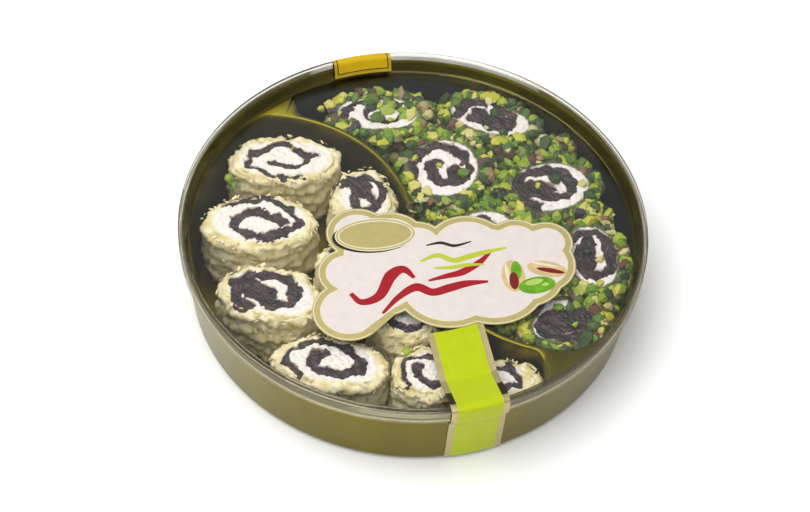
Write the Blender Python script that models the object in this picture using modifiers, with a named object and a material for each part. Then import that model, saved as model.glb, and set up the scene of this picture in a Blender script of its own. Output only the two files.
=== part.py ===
"""Round presentation box of rolled Turkish delight.

A thermoformed tub with an S-shaped divider holds upright slices of two rolled sweets: coconut
rolls on the left of the divider and pistachio rolls on the right. Every roll is a pale body with a
dark filling that spirals right through it. A clear recessed lid closes the tub, and a cloud-shaped
label, a paper band and a small tape seal are stuck on the lid.

Metres, +Z up. The origin is the centre of the tub's base, and the front of the box faces -Y.
"""

import math

import bpy
import bmesh
from mathutils import Vector

# Driving dimensions of the box.
LID_RADIUS = 0.1000
LID_HEIGHT = 0.0405
LID_WALL = 0.0006
LEDGE_WIDTH = 0.0028
PANEL_DROP = 0.0080
PANEL_RADIUS = 0.0958
SKIRT_DROP = 0.0070
TUB_BASE_RADIUS = 0.0957
TUB_SHOULDER_RADIUS = 0.0975
TUB_RIM_RADIUS = 0.0990
TUB_RIM_HEIGHT = 0.0369
TUB_WALL = 0.0008
TURN_STEPS = 64

# Clearance left between pieces that touch.
GAP = 0.0003
PANEL_TOP = LID_HEIGHT - PANEL_DROP
PANEL_UNDERSIDE = PANEL_TOP - LID_WALL

# The S-shaped divider: two arcs that meet in its middle, each the other turned half round. Against
# the wall each arm widens into a flat land, whose two edges leave the arc at turns of their own.
DIVIDER_MIDDLE = Vector((0.0, 0.0028))
ARC_CENTRE = Vector((-0.0660, -0.0058))
ARC_END = math.radians(112)
RIDGE_HALF_TOP = 0.0010
RIDGE_DRAFT = 0.0014
RIDGE_TOP = PANEL_UNDERSIDE - GAP
OUTER_LAND_START = math.radians(79)
OUTER_LAND_SWEEP = math.radians(8)
OUTER_LAND_WIDTH = 0.0200
INNER_LAND_START = math.radians(92)
INNER_LAND_WIDTH = 0.0110

# The rolls.
ROLL_FLOOR = TUB_WALL + GAP
ROLL_CEILING = PANEL_UNDERSIDE - GAP
NEIGHBOUR_GAP = 0.0006
WALL_CLEARANCE = 0.0008
OUTLINE_POINTS = 18
SPIRAL_STEPS = 13
SPIRAL_START = 0.24
SPIRAL_PITCH = 0.42

# Paper stuck on the lid.
PAPER = 0.0003
LABEL_POINTS = 60
LABEL_CENTRE = Vector((0.0120, -0.0220))

# Each roll: name, centre, half sizes, turn in degrees, height, lean of the foot, and the slope of its cut face,
# then where its spiral starts, how far it winds and how thick the dark layer is.
COCONUT_ROLLS = (
    ("coconut_roll_1", (-0.0592, 0.0400), (0.0275, 0.0150), 6, 0.0290, (0, -0.0020), (0.00, -0.06), 200, 470, 0.0012),
    ("coconut_roll_2", (-0.0665, 0.0032), (0.0262, 0.0170), 6, 0.0285, (0, -0.0020), (0.00, -0.05), 20, 500, 0.0019),
    ("coconut_roll_3", (-0.0569, -0.0350), (0.0250, 0.0160), -12, 0.0280, (0, -0.0015), (0.03, -0.06), 160, 430, 0.0024),
    ("coconut_roll_4", (-0.0296, -0.0673), (0.0265, 0.0150), -6, 0.0270, (0, -0.0010), (0.00, -0.08), 120, 460, 0.0016),
    ("coconut_roll_5", (-0.0218, 0.0204), (0.0160, 0.0190), 0, 0.0295, (0, 0), (0.02, -0.03), 100, 420, 0.0018),
    ("coconut_roll_6", (0.0105, -0.0690), (0.0160, 0.0150), 0, 0.0275, (0, -0.0010), (0.00, -0.07), 150, 440, 0.0017),
    ("coconut_roll_7", (0.0410, -0.0700), (0.0185, 0.0125), 18, 0.0260, (0, 0), (0.00, -0.05), 170, 400, 0.0013),
    ("coconut_roll_8", (-0.0230, -0.0180), (0.0180, 0.0170), 10, 0.0280, (0, 0), (0.00, 0.00), 60, 450, 0.0017),
    ("coconut_roll_9", (-0.0010, -0.0410), (0.0160, 0.0140), -30, 0.0275, (0, 0), (0.00, 0.00), 10, 430, 0.0015),
)
PISTACHIO_ROLLS = (
    ("pistachio_roll_1", (-0.0200, 0.0711), (0.0240, 0.0150), 4, 0.0285, (0, 0), (0.02, -0.05), 170, 420, 0.0014),
    ("pistachio_roll_2", (0.0310, 0.0736), (0.0240, 0.0150), -14, 0.0290, (0, 0), (-0.02, -0.05), 150, 400, 0.0026),
    ("pistachio_roll_3", (0.0115, 0.0396), (0.0200, 0.0225), -10, 0.0300, (0, 0), (0.00, -0.04), 120, 460, 0.0022),
    ("pistachio_roll_4", (0.0584, 0.0343), (0.0235, 0.0190), 25, 0.0285, (0, 0), (0.00, -0.05), 200, 420, 0.0028),
    ("pistachio_roll_5", (0.0780, -0.0034), (0.0160, 0.0225), 8, 0.0285, (0, 0), (-0.02, -0.03), 80, 430, 0.0024),
    ("pistachio_roll_6", (0.0649, -0.0400), (0.0185, 0.0180), -20, 0.0275, (0, 0), (0.00, -0.06), 40, 400, 0.0030),
    ("pistachio_roll_7", (0.0330, 0.0040), (0.0200, 0.0190), 0, 0.0280, (0, 0), (0.00, 0.00), 300, 440, 0.0020),
    ("pistachio_roll_8", (0.0370, -0.0280), (0.0180, 0.0150), -10, 0.0275, (0, 0), (0.00, 0.00), 90, 420, 0.0020),
)
ROLLS = COCONUT_ROLLS + PISTACHIO_ROLLS

# The round lobes whose union is the label's cloud outline: centre and radius.
LABEL_LOBES = (
    ((-0.0235, -0.0040), 0.0137),
    ((-0.0090, -0.0060), 0.0150),
    ((0.0240, -0.0080), 0.0184),
    ((0.0445, -0.0020), 0.0124),
    ((0.0575, -0.0010), 0.0112),
    ((0.0540, -0.0130), 0.0160),
    ((0.0480, -0.0200), 0.0168),
    ((0.0340, -0.0240), 0.0235),
    ((0.0160, -0.0280), 0.0230),
    ((-0.0240, -0.0460), 0.0153),
    ((-0.0260, -0.0260), 0.0128),
    ((0.0020, -0.0090), 0.0140),
    ((-0.0100, -0.0330), 0.0140),
)

# The lime band: heading of its length across the lid, how far its middle passes from the lid's centre, half width.
BAND_HEADING = math.radians(-75)
BAND_OFFSET = 0.0065
BAND_HALF_WIDTH = 0.0120
BAND_START_RADIUS = 0.0580
BAND_LIFT_RADIUS = 0.0800
BAND_POINTS = 7

# The tape seal on the back of the rim.
SEAL_HEADING = math.radians(107.5)
SEAL_HALF_WIDTH = 0.0132
SEAL_POINTS = 7


def clear_scene():
    """Remove whatever the file holds."""
    for item in list(bpy.data.objects):
        bpy.data.objects.remove(item, do_unlink=True)


def make_collection(name):
    """Make a collection of the scene."""
    collection = bpy.data.collections.new(name)
    bpy.context.scene.collection.children.link(collection)
    return collection


def make_material(name, colour, roughness, metallic=0.0, alpha=1.0):
    """Make a Principled material."""
    material = bpy.data.materials.new(name)
    material.use_nodes = True
    shader = material.node_tree.nodes["Principled BSDF"]
    shader.inputs["Base Color"].default_value = (*colour, 1.0)
    shader.inputs["Roughness"].default_value = roughness
    shader.inputs["Metallic"].default_value = metallic
    shader.inputs["Alpha"].default_value = alpha
    return material


def add_object(name, mesh, collection, material=None):
    """Link a mesh into a collection as a named object."""
    item = bpy.data.objects.new(name, mesh)
    collection.objects.link(item)
    if material:
        mesh.materials.append(material)
    return item


def as_cutter(item):
    """Mark an object as a tool that is not part of the box."""
    item.hide_render = True
    item.display_type = "WIRE"
    return item


def smooth(item, angle=30):
    """Shade an object smooth except at its sharp edges."""
    item.data.shade_smooth()
    item.data.set_sharp_from_angle(angle=math.radians(angle))


def turned(name, profile, collection, material=None):
    """Turn a profile of (radius, height) pairs about the box's axis."""
    mesh = bpy.data.meshes.new(name)
    points = [(radius, 0, height) for radius, height in profile]
    edges = [(i, i + 1) for i in range(len(points) - 1)]
    mesh.from_pydata(points, edges, [])
    item = add_object(name, mesh, collection, material)
    screw = item.modifiers.new("turn", "SCREW")
    screw.steps = TURN_STEPS
    screw.render_steps = TURN_STEPS
    screw.use_merge_vertices = True
    screw.merge_threshold = 0.0001
    return item


def lofted(name, sections, collection, material=None):
    """Join closed sections of equal count, listed from the bottom up, into one capped solid."""
    shape = bmesh.new()
    rings = [[shape.verts.new(point) for point in section] for section in sections]
    count = len(rings[0])
    shape.faces.new(reversed(rings[0]))
    for lower, upper in zip(rings, rings[1:]):
        for i in range(count):
            j = (i + 1) % count
            shape.faces.new((lower[i], lower[j], upper[j], upper[i]))
    shape.faces.new(rings[-1])
    mesh = bpy.data.meshes.new(name)
    shape.to_mesh(mesh)
    shape.free()
    return add_object(name, mesh, collection, material)


def combine(item, tool, operation):
    """Add an exact Boolean to an object."""
    boolean = item.modifiers.new(operation.lower(), "BOOLEAN")
    boolean.operation = operation
    boolean.solver = "EXACT"
    boolean.object = tool


def arc_point(turn, offset, side):
    """A point beside one arm of the divider, offset away from that arm's centre."""
    radius = ARC_CENTRE.length + offset
    point = ARC_CENTRE + Vector((math.cos(turn), math.sin(turn))) * radius
    return DIVIDER_MIDDLE + point * side


def arm_start():
    """The angle about an arm's centre at which the two arms meet."""
    return math.atan2(-ARC_CENTRE.y, -ARC_CENTRE.x)


def arm_turns(count):
    """Angles about the arm's own centre, from the divider's middle out to the wall."""
    start = arm_start()
    return [start + (ARC_END - start) * i / (count - 1) for i in range(count)]


def outer_offset(turn):
    """Offset of the arm's convex edge, which turns out sharply where the land begins."""
    share = min(max((turn - OUTER_LAND_START) / OUTER_LAND_SWEEP, 0.0), 1.0)
    return RIDGE_HALF_TOP + OUTER_LAND_WIDTH * share ** 2


def inner_offset(turn):
    """Offset of the arm's hollow edge, which slants away where the land begins."""
    share = min(max((turn - INNER_LAND_START) / (ARC_END - INNER_LAND_START), 0.0), 1.0)
    return -RIDGE_HALF_TOP - INNER_LAND_WIDTH * share ** 1.2


def ridge_section(height, spread):
    """Outline of the whole S-shaped divider at one height, anticlockwise."""
    turns = arm_turns(24)[1:]
    outline = []
    for side in (1, -1):
        outline += [arc_point(turn, outer_offset(turn) + spread, side) for turn in turns]
        outline += [arc_point(turn, inner_offset(turn) - spread, side) for turn in reversed(turns)]
    return [Vector((p.x, p.y, height)) for p in outline]


def make_tub(parts, cutters, gold):
    """The gold tub with its S-shaped divider and the two flat lands."""
    shoulder_height = RIDGE_TOP
    inner_shoulder = TUB_SHOULDER_RADIUS - TUB_WALL
    profile = [
        (0, TUB_WALL),
        (TUB_BASE_RADIUS - 0.0042, TUB_WALL),
        (TUB_BASE_RADIUS - 0.0022, 0.0014),
        (TUB_BASE_RADIUS - 0.0009, 0.0040),
        (inner_shoulder, shoulder_height),
        (TUB_RIM_RADIUS - 0.0012, TUB_RIM_HEIGHT),
        (TUB_RIM_RADIUS, TUB_RIM_HEIGHT),
        (TUB_RIM_RADIUS, TUB_RIM_HEIGHT - TUB_WALL),
        (TUB_RIM_RADIUS - 0.0004, TUB_RIM_HEIGHT - 0.0012),
        (TUB_SHOULDER_RADIUS, shoulder_height),
        (TUB_BASE_RADIUS, 0.0040),
        (TUB_BASE_RADIUS - 0.0013, 0.0012),
        (TUB_BASE_RADIUS - 0.0040, 0),
        (0, 0),
    ]
    tub = turned("tub", profile, parts, gold)
    middle_wall = TUB_WALL / 2
    plug_profile = [
        (0, LID_HEIGHT),
        (TUB_SHOULDER_RADIUS - middle_wall, LID_HEIGHT),
        (TUB_SHOULDER_RADIUS - middle_wall, shoulder_height),
        (TUB_BASE_RADIUS - middle_wall, 0.0040),
        (TUB_BASE_RADIUS - 0.0030, middle_wall),
        (0, middle_wall),
    ]
    plug = as_cutter(turned("inside_of_tub", plug_profile, cutters))
    sections = [
        ridge_section(-GAP, RIDGE_DRAFT),
        ridge_section(RIDGE_TOP - 0.0010, 0.0003),
        ridge_section(RIDGE_TOP, -0.0004),
    ]
    ridge = as_cutter(lofted("divider", sections, cutters))
    combine(ridge, plug, "INTERSECT")
    combine(tub, ridge, "UNION")
    smooth(tub)


def make_lid(parts, clear):
    """The clear lid: a skirt, a narrow ledge and a recessed flat panel."""
    ledge_inner = LID_RADIUS - LEDGE_WIDTH
    ledge_bottom = LID_HEIGHT - LID_WALL
    skirt_bottom = LID_HEIGHT - SKIRT_DROP
    profile = [
        (0, PANEL_TOP),
        (PANEL_RADIUS - 0.0008, PANEL_TOP),
        (PANEL_RADIUS, PANEL_TOP + 0.0008),
        (ledge_inner - 0.0002, LID_HEIGHT - 0.0004),
        (ledge_inner + 0.0003, LID_HEIGHT),
        (LID_RADIUS - 0.0006, LID_HEIGHT),
        (LID_RADIUS, LID_HEIGHT - 0.0006),
        (LID_RADIUS + 0.0002, skirt_bottom),
        (LID_RADIUS + 0.0002 - LID_WALL, skirt_bottom),
        (LID_RADIUS - LID_WALL, ledge_bottom - 0.0004),
        (LID_RADIUS - LID_WALL - 0.0004, ledge_bottom),
        (ledge_inner + LID_WALL, ledge_bottom),
        (PANEL_RADIUS + 0.0006, PANEL_TOP),
        (PANEL_RADIUS - 0.0002, PANEL_UNDERSIDE),
        (0, PANEL_UNDERSIDE),
    ]
    lid = turned("lid", profile, parts, clear)
    smooth(lid)


def ellipse_reach(roll, heading):
    """How far a roll's own oval reaches from its centre along a heading."""
    half_long, half_wide = roll[2]
    turn = heading - math.radians(roll[3])
    return 1.0 / math.hypot(math.cos(turn) / half_long, math.sin(turn) / half_wide)


def roll_centre(roll, level):
    """Centre of a roll in plan at a level from 0 at its foot to 1 at its cut face."""
    return Vector(roll[1]) + Vector(roll[5]) * (1.0 - level)


def neighbour_reach(roll, heading, level):
    """How far a roll may reach along a heading before the flat where it presses on a neighbour."""
    centre = roll_centre(roll, level)
    along = Vector((math.cos(heading), math.sin(heading)))
    reach = math.inf
    for other in ROLLS:
        if other is roll:
            continue
        apart = roll_centre(other, level) - centre
        distance = apart.length
        towards = apart / distance
        bearing = math.atan2(towards.y, towards.x)
        mine = ellipse_reach(roll, bearing)
        theirs = ellipse_reach(other, bearing + math.pi)
        flat = distance * mine / (mine + theirs) - NEIGHBOUR_GAP / 2
        facing = along.dot(towards)
        if facing > 0.05:
            reach = min(reach, flat / facing)
    return reach


def wall_reach(roll, heading, level):
    """How far a roll may reach along a heading before the tub's wall."""
    centre = roll_centre(roll, level)
    along = Vector((math.cos(heading), math.sin(heading)))
    inside = TUB_BASE_RADIUS - TUB_WALL - WALL_CLEARANCE - 0.0012
    across = centre.dot(along)
    return -across + math.sqrt(across ** 2 + inside ** 2 - centre.length_squared)


def blocked_by_divider(point):
    """Whether a point in plan is on the divider or its lands, with clearance."""
    margin = RIDGE_DRAFT + WALL_CLEARANCE
    for side in (1, -1):
        local = (point - DIVIDER_MIDDLE) * side - ARC_CENTRE
        turn = math.atan2(local.y, local.x)
        if arm_start() - 0.15 <= turn <= ARC_END + 0.1:
            offset = local.length - ARC_CENTRE.length
            if inner_offset(turn) - margin < offset < outer_offset(turn) + margin:
                return True
    return False


def divider_reach(roll, heading, limit):
    """How far a roll may reach along a heading before the divider."""
    centre = Vector(roll[1])
    along = Vector((math.cos(heading), math.sin(heading)))
    step = 0.0004
    reach = step
    while reach < limit and not blocked_by_divider(centre + along * reach):
        reach += step
    return reach - step if reach < limit else limit


def roll_reach(roll, heading, level):
    """Distance from a roll's axis to its side: its oval, pressed flat by whatever it touches."""
    own = ellipse_reach(roll, heading)
    reach = min(own, neighbour_reach(roll, heading, level), wall_reach(roll, heading, level))
    return divider_reach(roll, heading, reach)


def roll_point(roll, heading, distance, level):
    """A point of a roll, on the slanted plane that its cut face sets for each level."""
    centre = roll_centre(roll, level)
    x = centre.x + distance * math.cos(heading)
    y = centre.y + distance * math.sin(heading)
    slope_x, slope_y = roll[6]
    rise = slope_x * (x - centre.x) + slope_y * (y - centre.y)
    height = ROLL_FLOOR + (roll[4] - ROLL_FLOOR + rise) * level
    return Vector((x, y, min(height, ROLL_CEILING)))


def roll_sections(roll):
    """Sections of a roll's body, drawn in a little at the foot and at the cut face."""
    sections = []
    for level, swell in ((0.0, 0.94), (0.12, 1.0), (0.90, 1.0), (1.0, 0.95)):
        section = []
        for i in range(OUTLINE_POINTS):
            heading = 2 * math.pi * i / OUTLINE_POINTS
            distance = roll_reach(roll, heading, level) * swell
            section.append(roll_point(roll, heading, distance, level))
        sections.append(section)
    return sections


def spiral_section(roll, level, spread):
    """Outline of the dark layer at one level, widened by spread on every side."""
    start, winding, half_thick = math.radians(roll[7]), math.radians(roll[8]), roll[9]
    inner = []
    outer = []
    for i in range(SPIRAL_STEPS + 1):
        along = i / SPIRAL_STEPS
        turn = start + winding * along
        share = SPIRAL_START + SPIRAL_PITCH * winding * along / (2 * math.pi)
        middle = share * roll_reach(roll, turn, 0.5)
        tail = spread / max(middle, 0.002) * (-1 if i == 0 else 1 if i == SPIRAL_STEPS else 0)
        inner.append(roll_point(roll, turn + tail, middle - half_thick - spread, level))
        outer.append(roll_point(roll, turn + tail, middle + half_thick + spread, level))
    return outer + inner[::-1]


def make_roll(roll, parts, cutters, body_material, filling_material):
    """One slice of rolled sweet: a pale body and the dark layer that winds through it."""
    name = roll[0]
    body = lofted(name, roll_sections(roll), parts, body_material)
    slot_sections = []
    for level, height in ((0.5, -0.002), (0.5, LID_HEIGHT)):
        section = spiral_section(roll, level, GAP)
        slot_sections.append([Vector((p.x, p.y, height)) for p in section])
    slot = as_cutter(lofted(name + "_slot", slot_sections, cutters))
    combine(body, slot, "DIFFERENCE")
    middle = spiral_section(roll, 0.5, 0.0)
    foot = [Vector((p.x, p.y, ROLL_FLOOR)) for p in middle]
    face = [face_point(roll, p) for p in middle]
    filling = lofted(name + "_filling", [foot, face], parts, filling_material)
    smooth(body, 40)
    smooth(filling, 40)


def face_point(roll, point):
    """The point of a roll's cut face straight above a point in plan."""
    centre = roll_centre(roll, 1.0)
    slope_x, slope_y = roll[6]
    height = roll[4] + slope_x * (point.x - centre.x) + slope_y * (point.y - centre.y)
    return Vector((point.x, point.y, min(height, ROLL_CEILING)))


def label_reach(heading):
    """Distance from the label's centre to its cloud outline."""
    along = Vector((math.cos(heading), math.sin(heading)))
    reach = 0.0
    for centre, radius in LABEL_LOBES:
        offset = Vector(centre) - LABEL_CENTRE
        across = offset.dot(along)
        inside = across ** 2 + radius ** 2 - offset.length_squared
        if inside > 0:
            reach = max(reach, across + math.sqrt(inside))
    return reach


def make_label(parts, paper):
    """The cloud-shaped label on the lid's panel."""
    outline = []
    for i in range(LABEL_POINTS):
        heading = 2 * math.pi * i / LABEL_POINTS
        outline.append(LABEL_CENTRE + Vector((math.cos(heading), math.sin(heading))) * label_reach(heading))
    underside = PANEL_TOP + GAP
    sections = [[Vector((p.x, p.y, height)) for p in outline] for height in (underside, underside + PAPER)]
    lofted("label", sections, parts, paper)


def offset_path(path, thickness):
    """A path of (radius, height) pairs moved to its left by a thickness."""
    moved = []
    for i, point in enumerate(path):
        before = Vector(path[max(i - 1, 0)])
        after = Vector(path[min(i + 1, len(path) - 1)])
        to_here = (Vector(point) - before).normalized()
        from_here = (after - Vector(point)).normalized()
        along = (to_here + from_here).normalized()
        moved.append(Vector(point) + Vector((-along.y, along.x)) * thickness)
    return moved


def make_strip(name, path, heading, offset, half_width, points, parts, material):
    """A strip of paper that follows a path over the lid's edge."""
    over = offset_path(path, PAPER)
    laterals = [offset + half_width * (2 * i / (points - 1) - 1) for i in range(points)]
    sections = []
    for low, high in zip(path, over):
        under_side = [strip_point(low, heading, lateral) for lateral in laterals]
        upper_side = [strip_point(high, heading, lateral) for lateral in reversed(laterals)]
        sections.append(under_side + upper_side)
    return lofted(name, sections, parts, material)


def strip_point(place, heading, lateral):
    """A point at a radius and height, a sideways distance from the line of a strip."""
    radius, height = place
    turn = heading + math.asin(lateral / radius)
    return Vector((radius * math.cos(turn), radius * math.sin(turn), height))


def make_band(parts, lime):
    """The lime band from the label across the panel, over the rim and down the tub."""
    over_ledge = LID_HEIGHT + GAP
    on_panel = PANEL_TOP + GAP
    path = [
        (BAND_START_RADIUS, on_panel),
        (BAND_LIFT_RADIUS, on_panel),
        (LID_RADIUS - LEDGE_WIDTH - 0.0004, over_ledge),
        (LID_RADIUS + 0.0001, over_ledge),
        (LID_RADIUS + 0.0006, LID_HEIGHT - 0.0007),
        (LID_RADIUS + 0.0006, LID_HEIGHT - SKIRT_DROP - 0.0002),
        (TUB_SHOULDER_RADIUS + 0.0008, RIDGE_TOP),
        (TUB_BASE_RADIUS + 0.0004, 0.0042),
        (TUB_BASE_RADIUS - 0.0006, 0.0015),
    ]
    make_strip("band", path, BAND_HEADING, BAND_OFFSET, BAND_HALF_WIDTH, BAND_POINTS, parts, lime)


def make_seal(parts, yellow):
    """The yellow tape seal over the back of the rim."""
    over_ledge = LID_HEIGHT + GAP
    path = [
        (PANEL_RADIUS - 0.0012, PANEL_TOP + 0.0006),
        (LID_RADIUS - LEDGE_WIDTH - 0.0006, LID_HEIGHT - 0.0002),
        (LID_RADIUS - LEDGE_WIDTH, over_ledge),
        (LID_RADIUS + 0.0001, over_ledge),
        (LID_RADIUS + 0.0006, LID_HEIGHT - 0.0007),
        (LID_RADIUS + 0.0006, LID_HEIGHT - SKIRT_DROP + 0.0008),
    ]
    make_strip("seal", path, SEAL_HEADING, 0.0, SEAL_HALF_WIDTH, SEAL_POINTS, parts, yellow)


def main():
    """Build the whole box."""
    clear_scene()
    parts = make_collection("turkish_delight_box")
    cutters = make_collection("cutters")
    gold = make_material("gold_plastic", (0.26, 0.20, 0.04), 0.30, 0.6)
    clear = make_material("clear_plastic", (0.90, 0.90, 0.88), 0.08, 0.0, 0.25)
    coconut = make_material("coconut_candy", (0.80, 0.74, 0.52), 0.85)
    pistachio = make_material("pistachio_candy", (0.42, 0.46, 0.12), 0.85)
    dark = make_material("dark_candy", (0.045, 0.022, 0.022), 0.35)
    paper = make_material("label_paper", (0.80, 0.74, 0.72), 0.35)
    lime = make_material("lime_paper", (0.52, 0.62, 0.01), 0.40)
    yellow = make_material("yellow_tape", (0.72, 0.47, 0.01), 0.40)
    make_tub(parts, cutters, gold)
    make_lid(parts, clear)
    for roll in COCONUT_ROLLS:
        make_roll(roll, parts, cutters, coconut, dark)
    for roll in PISTACHIO_ROLLS:
        make_roll(roll, parts, cutters, pistachio, dark)
    make_label(parts, paper)
    make_band(parts, lime)
    make_seal(parts, yellow)


main()
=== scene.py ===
"""Looks of a round presentation box of rolled Turkish delight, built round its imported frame."""

import math

import bmesh
import bpy
import numpy as np
from bpy.props import FloatProperty, FloatVectorProperty, PointerProperty, StringProperty
from mathutils import Matrix, Vector
from mathutils.bvhtree import BVHTree


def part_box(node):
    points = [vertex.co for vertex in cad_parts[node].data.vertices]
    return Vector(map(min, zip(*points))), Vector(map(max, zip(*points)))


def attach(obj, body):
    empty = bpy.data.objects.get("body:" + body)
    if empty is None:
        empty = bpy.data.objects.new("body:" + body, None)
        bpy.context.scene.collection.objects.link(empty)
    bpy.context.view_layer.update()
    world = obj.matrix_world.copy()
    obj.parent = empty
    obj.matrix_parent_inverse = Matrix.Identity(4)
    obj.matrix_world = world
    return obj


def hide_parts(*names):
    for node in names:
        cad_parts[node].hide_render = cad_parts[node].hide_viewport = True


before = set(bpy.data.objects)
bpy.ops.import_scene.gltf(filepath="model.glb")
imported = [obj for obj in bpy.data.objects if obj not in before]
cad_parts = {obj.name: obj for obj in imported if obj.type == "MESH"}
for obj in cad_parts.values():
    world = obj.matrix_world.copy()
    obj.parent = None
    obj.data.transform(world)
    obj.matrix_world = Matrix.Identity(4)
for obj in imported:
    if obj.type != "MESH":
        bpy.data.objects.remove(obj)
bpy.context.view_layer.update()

bl_info = {
    "name": "Turkish Delight Box",
    "version": (1, 0, 0),
    "blender": (4, 5, 0),
    "location": "View3D > Sidebar > Sweets",
    "description": "Builds a round lidded box of coconut and pistachio rolls of Turkish delight",
    "category": "Add Mesh",
}

MM = 0.001
UP = Vector((0, 0, 1))
FULL_TURN = 2 * math.pi
ROLLS = sorted(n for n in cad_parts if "_roll_" in n and not n.endswith("_filling"))
COCONUT_ROLLS = [n for n in ROLLS if n.startswith("coconut")]
PISTACHIO_ROLLS = [n for n in ROLLS if n.startswith("pistachio")]

LID_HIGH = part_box("lid")[1]
LABEL_LOW, LABEL_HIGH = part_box("label")
TUB_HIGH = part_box("tub")[1]
LID_RADIUS = LID_HIGH.x
LID_TOP = LID_HIGH.z
SKIRT_DROP = 7.0 * MM
PANEL_DROP = 8.0 * MM
PANEL_TOP = LID_TOP - PANEL_DROP
PANEL_RADIUS = LID_RADIUS - 4.4 * MM
LEDGE_WIDTH = 2.8 * MM
SHEET = 0.6 * MM
# Height of the tub's shoulder, and the radius at which a turned profile meets the axis.
SHOULDER = 31.6 * MM
AXIS = 0.002 * MM

# Kinds of node used again and again.
RAMP = "ShaderNodeValToRGB"
RANGE = "ShaderNodeMapRange"
MIX = "ShaderNodeMix"
MATH = "ShaderNodeMath"
ATTRIBUTE = "ShaderNodeAttribute"


# ---------------------------------------------------------------- colours and materials


def linear(code):
    """A colour for a shader socket from an sRGB hex code."""
    channels = [int(code[i : i + 2], 16) / 255 for i in (1, 3, 5)]
    straight = [c / 12.92 if c <= 0.04045 else ((c + 0.055) / 1.055) ** 2.4 for c in channels]
    return (*straight, 1.0)


def ramp_stops(stops):
    """Ramp stops in linear light from places and hex codes."""
    return [(place, linear(code)) for place, code in stops]


def scaled(colour, factor):
    """A colour made lighter or darker, and opaque."""
    return tuple(min(c * factor, 1.0) for c in colour[:3]) + (1.0,)


def add_node(tree, kind, inputs=None, stops=None, into=None, **settings):
    """Add a node with its settings, ramp stops, input values or links, and a socket it feeds."""
    node = tree.nodes.new(kind)
    for name, value in settings.items():
        setattr(node, name, value)
    if stops:
        elements = node.color_ramp.elements
        while len(elements) < len(stops):
            elements.new(0.5)
        for element, (place, colour) in zip(elements, stops):
            element.position = place
            element.color = colour
    for key, value in (inputs or {}).items():
        if isinstance(value, bpy.types.NodeSocket):
            tree.links.new(value, node.inputs[key])
        else:
            node.inputs[key].default_value = value
    if into:
        tree.links.new(node.outputs[0], into)
    return node


def new_material(name, **constants):
    """A material with one Principled shader, its constants set on the shader's own sockets."""
    material = bpy.data.materials.new(name)
    material.use_nodes = True
    tree = material.node_tree
    tree.nodes.clear()
    shader = add_node(tree, "ShaderNodeBsdfPrincipled")
    for key, value in constants.items():
        shader.inputs[key.replace("_", " ")].default_value = value
    output = add_node(tree, "ShaderNodeOutputMaterial")
    tree.links.new(shader.outputs["BSDF"], output.inputs["Surface"])
    return material, tree, shader


def speckle(tree, size, detail=3.0, roughness=0.55, distortion=0.0):
    """Noise whose grains measure about one size, in metres, in the object's own space."""
    place = add_node(tree, "ShaderNodeTexCoord").outputs["Object"]
    inputs = {"Vector": place, "Scale": 1.0 / size, "Detail": detail}
    inputs.update({"Roughness": roughness, "Distortion": distortion})
    return add_node(tree, "ShaderNodeTexNoise", inputs).outputs["Fac"]


def bump(tree, shader, height, distance, strength=1.0):
    """Give a shader a bump of a real height in metres."""
    inputs = {"Height": height, "Distance": distance, "Strength": strength}
    add_node(tree, "ShaderNodeBump", inputs, into=shader.inputs["Normal"])


def lacquered_gold_sheet(colour):
    """PET sheet lacquered gold and thermoformed: a satin olive metal with soft drawn-out unevenness."""
    material, tree, shader = new_material("lacquered_gold_pet_thermoformed", Metallic=1.0)
    cloud = speckle(tree, 22 * MM, 2.0)
    deep = scaled(colour, 0.82)
    tint = [(0.3, deep), (0.75, (*colour, 1.0))]
    add_node(tree, RAMP, {"Fac": cloud}, tint, into=shader.inputs["Base Color"])
    grain = speckle(tree, 0.9 * MM, 2.0)
    add_node(tree, RANGE, {"Value": grain, "To Min": 0.24, "To Max": 0.36}, into=shader.inputs["Roughness"])
    bump(tree, shader, speckle(tree, 6 * MM, 2.0), 0.04 * MM)
    return material


def clear_sheet(name, colour, least, most, roughness, wave=0.05 * MM):
    """Clear PET sheet: it hides little face on, and mirrors more at a slant, with faint ripples."""
    material, tree, shader = new_material(name, Metallic=1.0)
    facing = add_node(tree, "ShaderNodeLayerWeight", {"Blend": 0.22}).outputs["Fresnel"]
    cloud = speckle(tree, 14 * MM, 2.0)
    haze = add_node(tree, RANGE, {"Value": cloud, "To Min": least * 0.7, "To Max": least * 1.3})
    veil = {"Value": facing, "To Min": haze.outputs["Result"], "To Max": most}
    add_node(tree, RANGE, veil, into=shader.inputs["Alpha"])
    tint = [(0.3, linear(colour)), (0.8, scaled(linear(colour), 1.08))]
    add_node(tree, RAMP, {"Fac": cloud}, tint, into=shader.inputs["Base Color"])
    gloss = {"Value": cloud, "To Min": roughness * 0.8, "To Max": roughness * 1.2}
    add_node(tree, RANGE, gloss, into=shader.inputs["Roughness"])
    bump(tree, shader, speckle(tree, 9 * MM, 1.0), wave)
    return material


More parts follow.
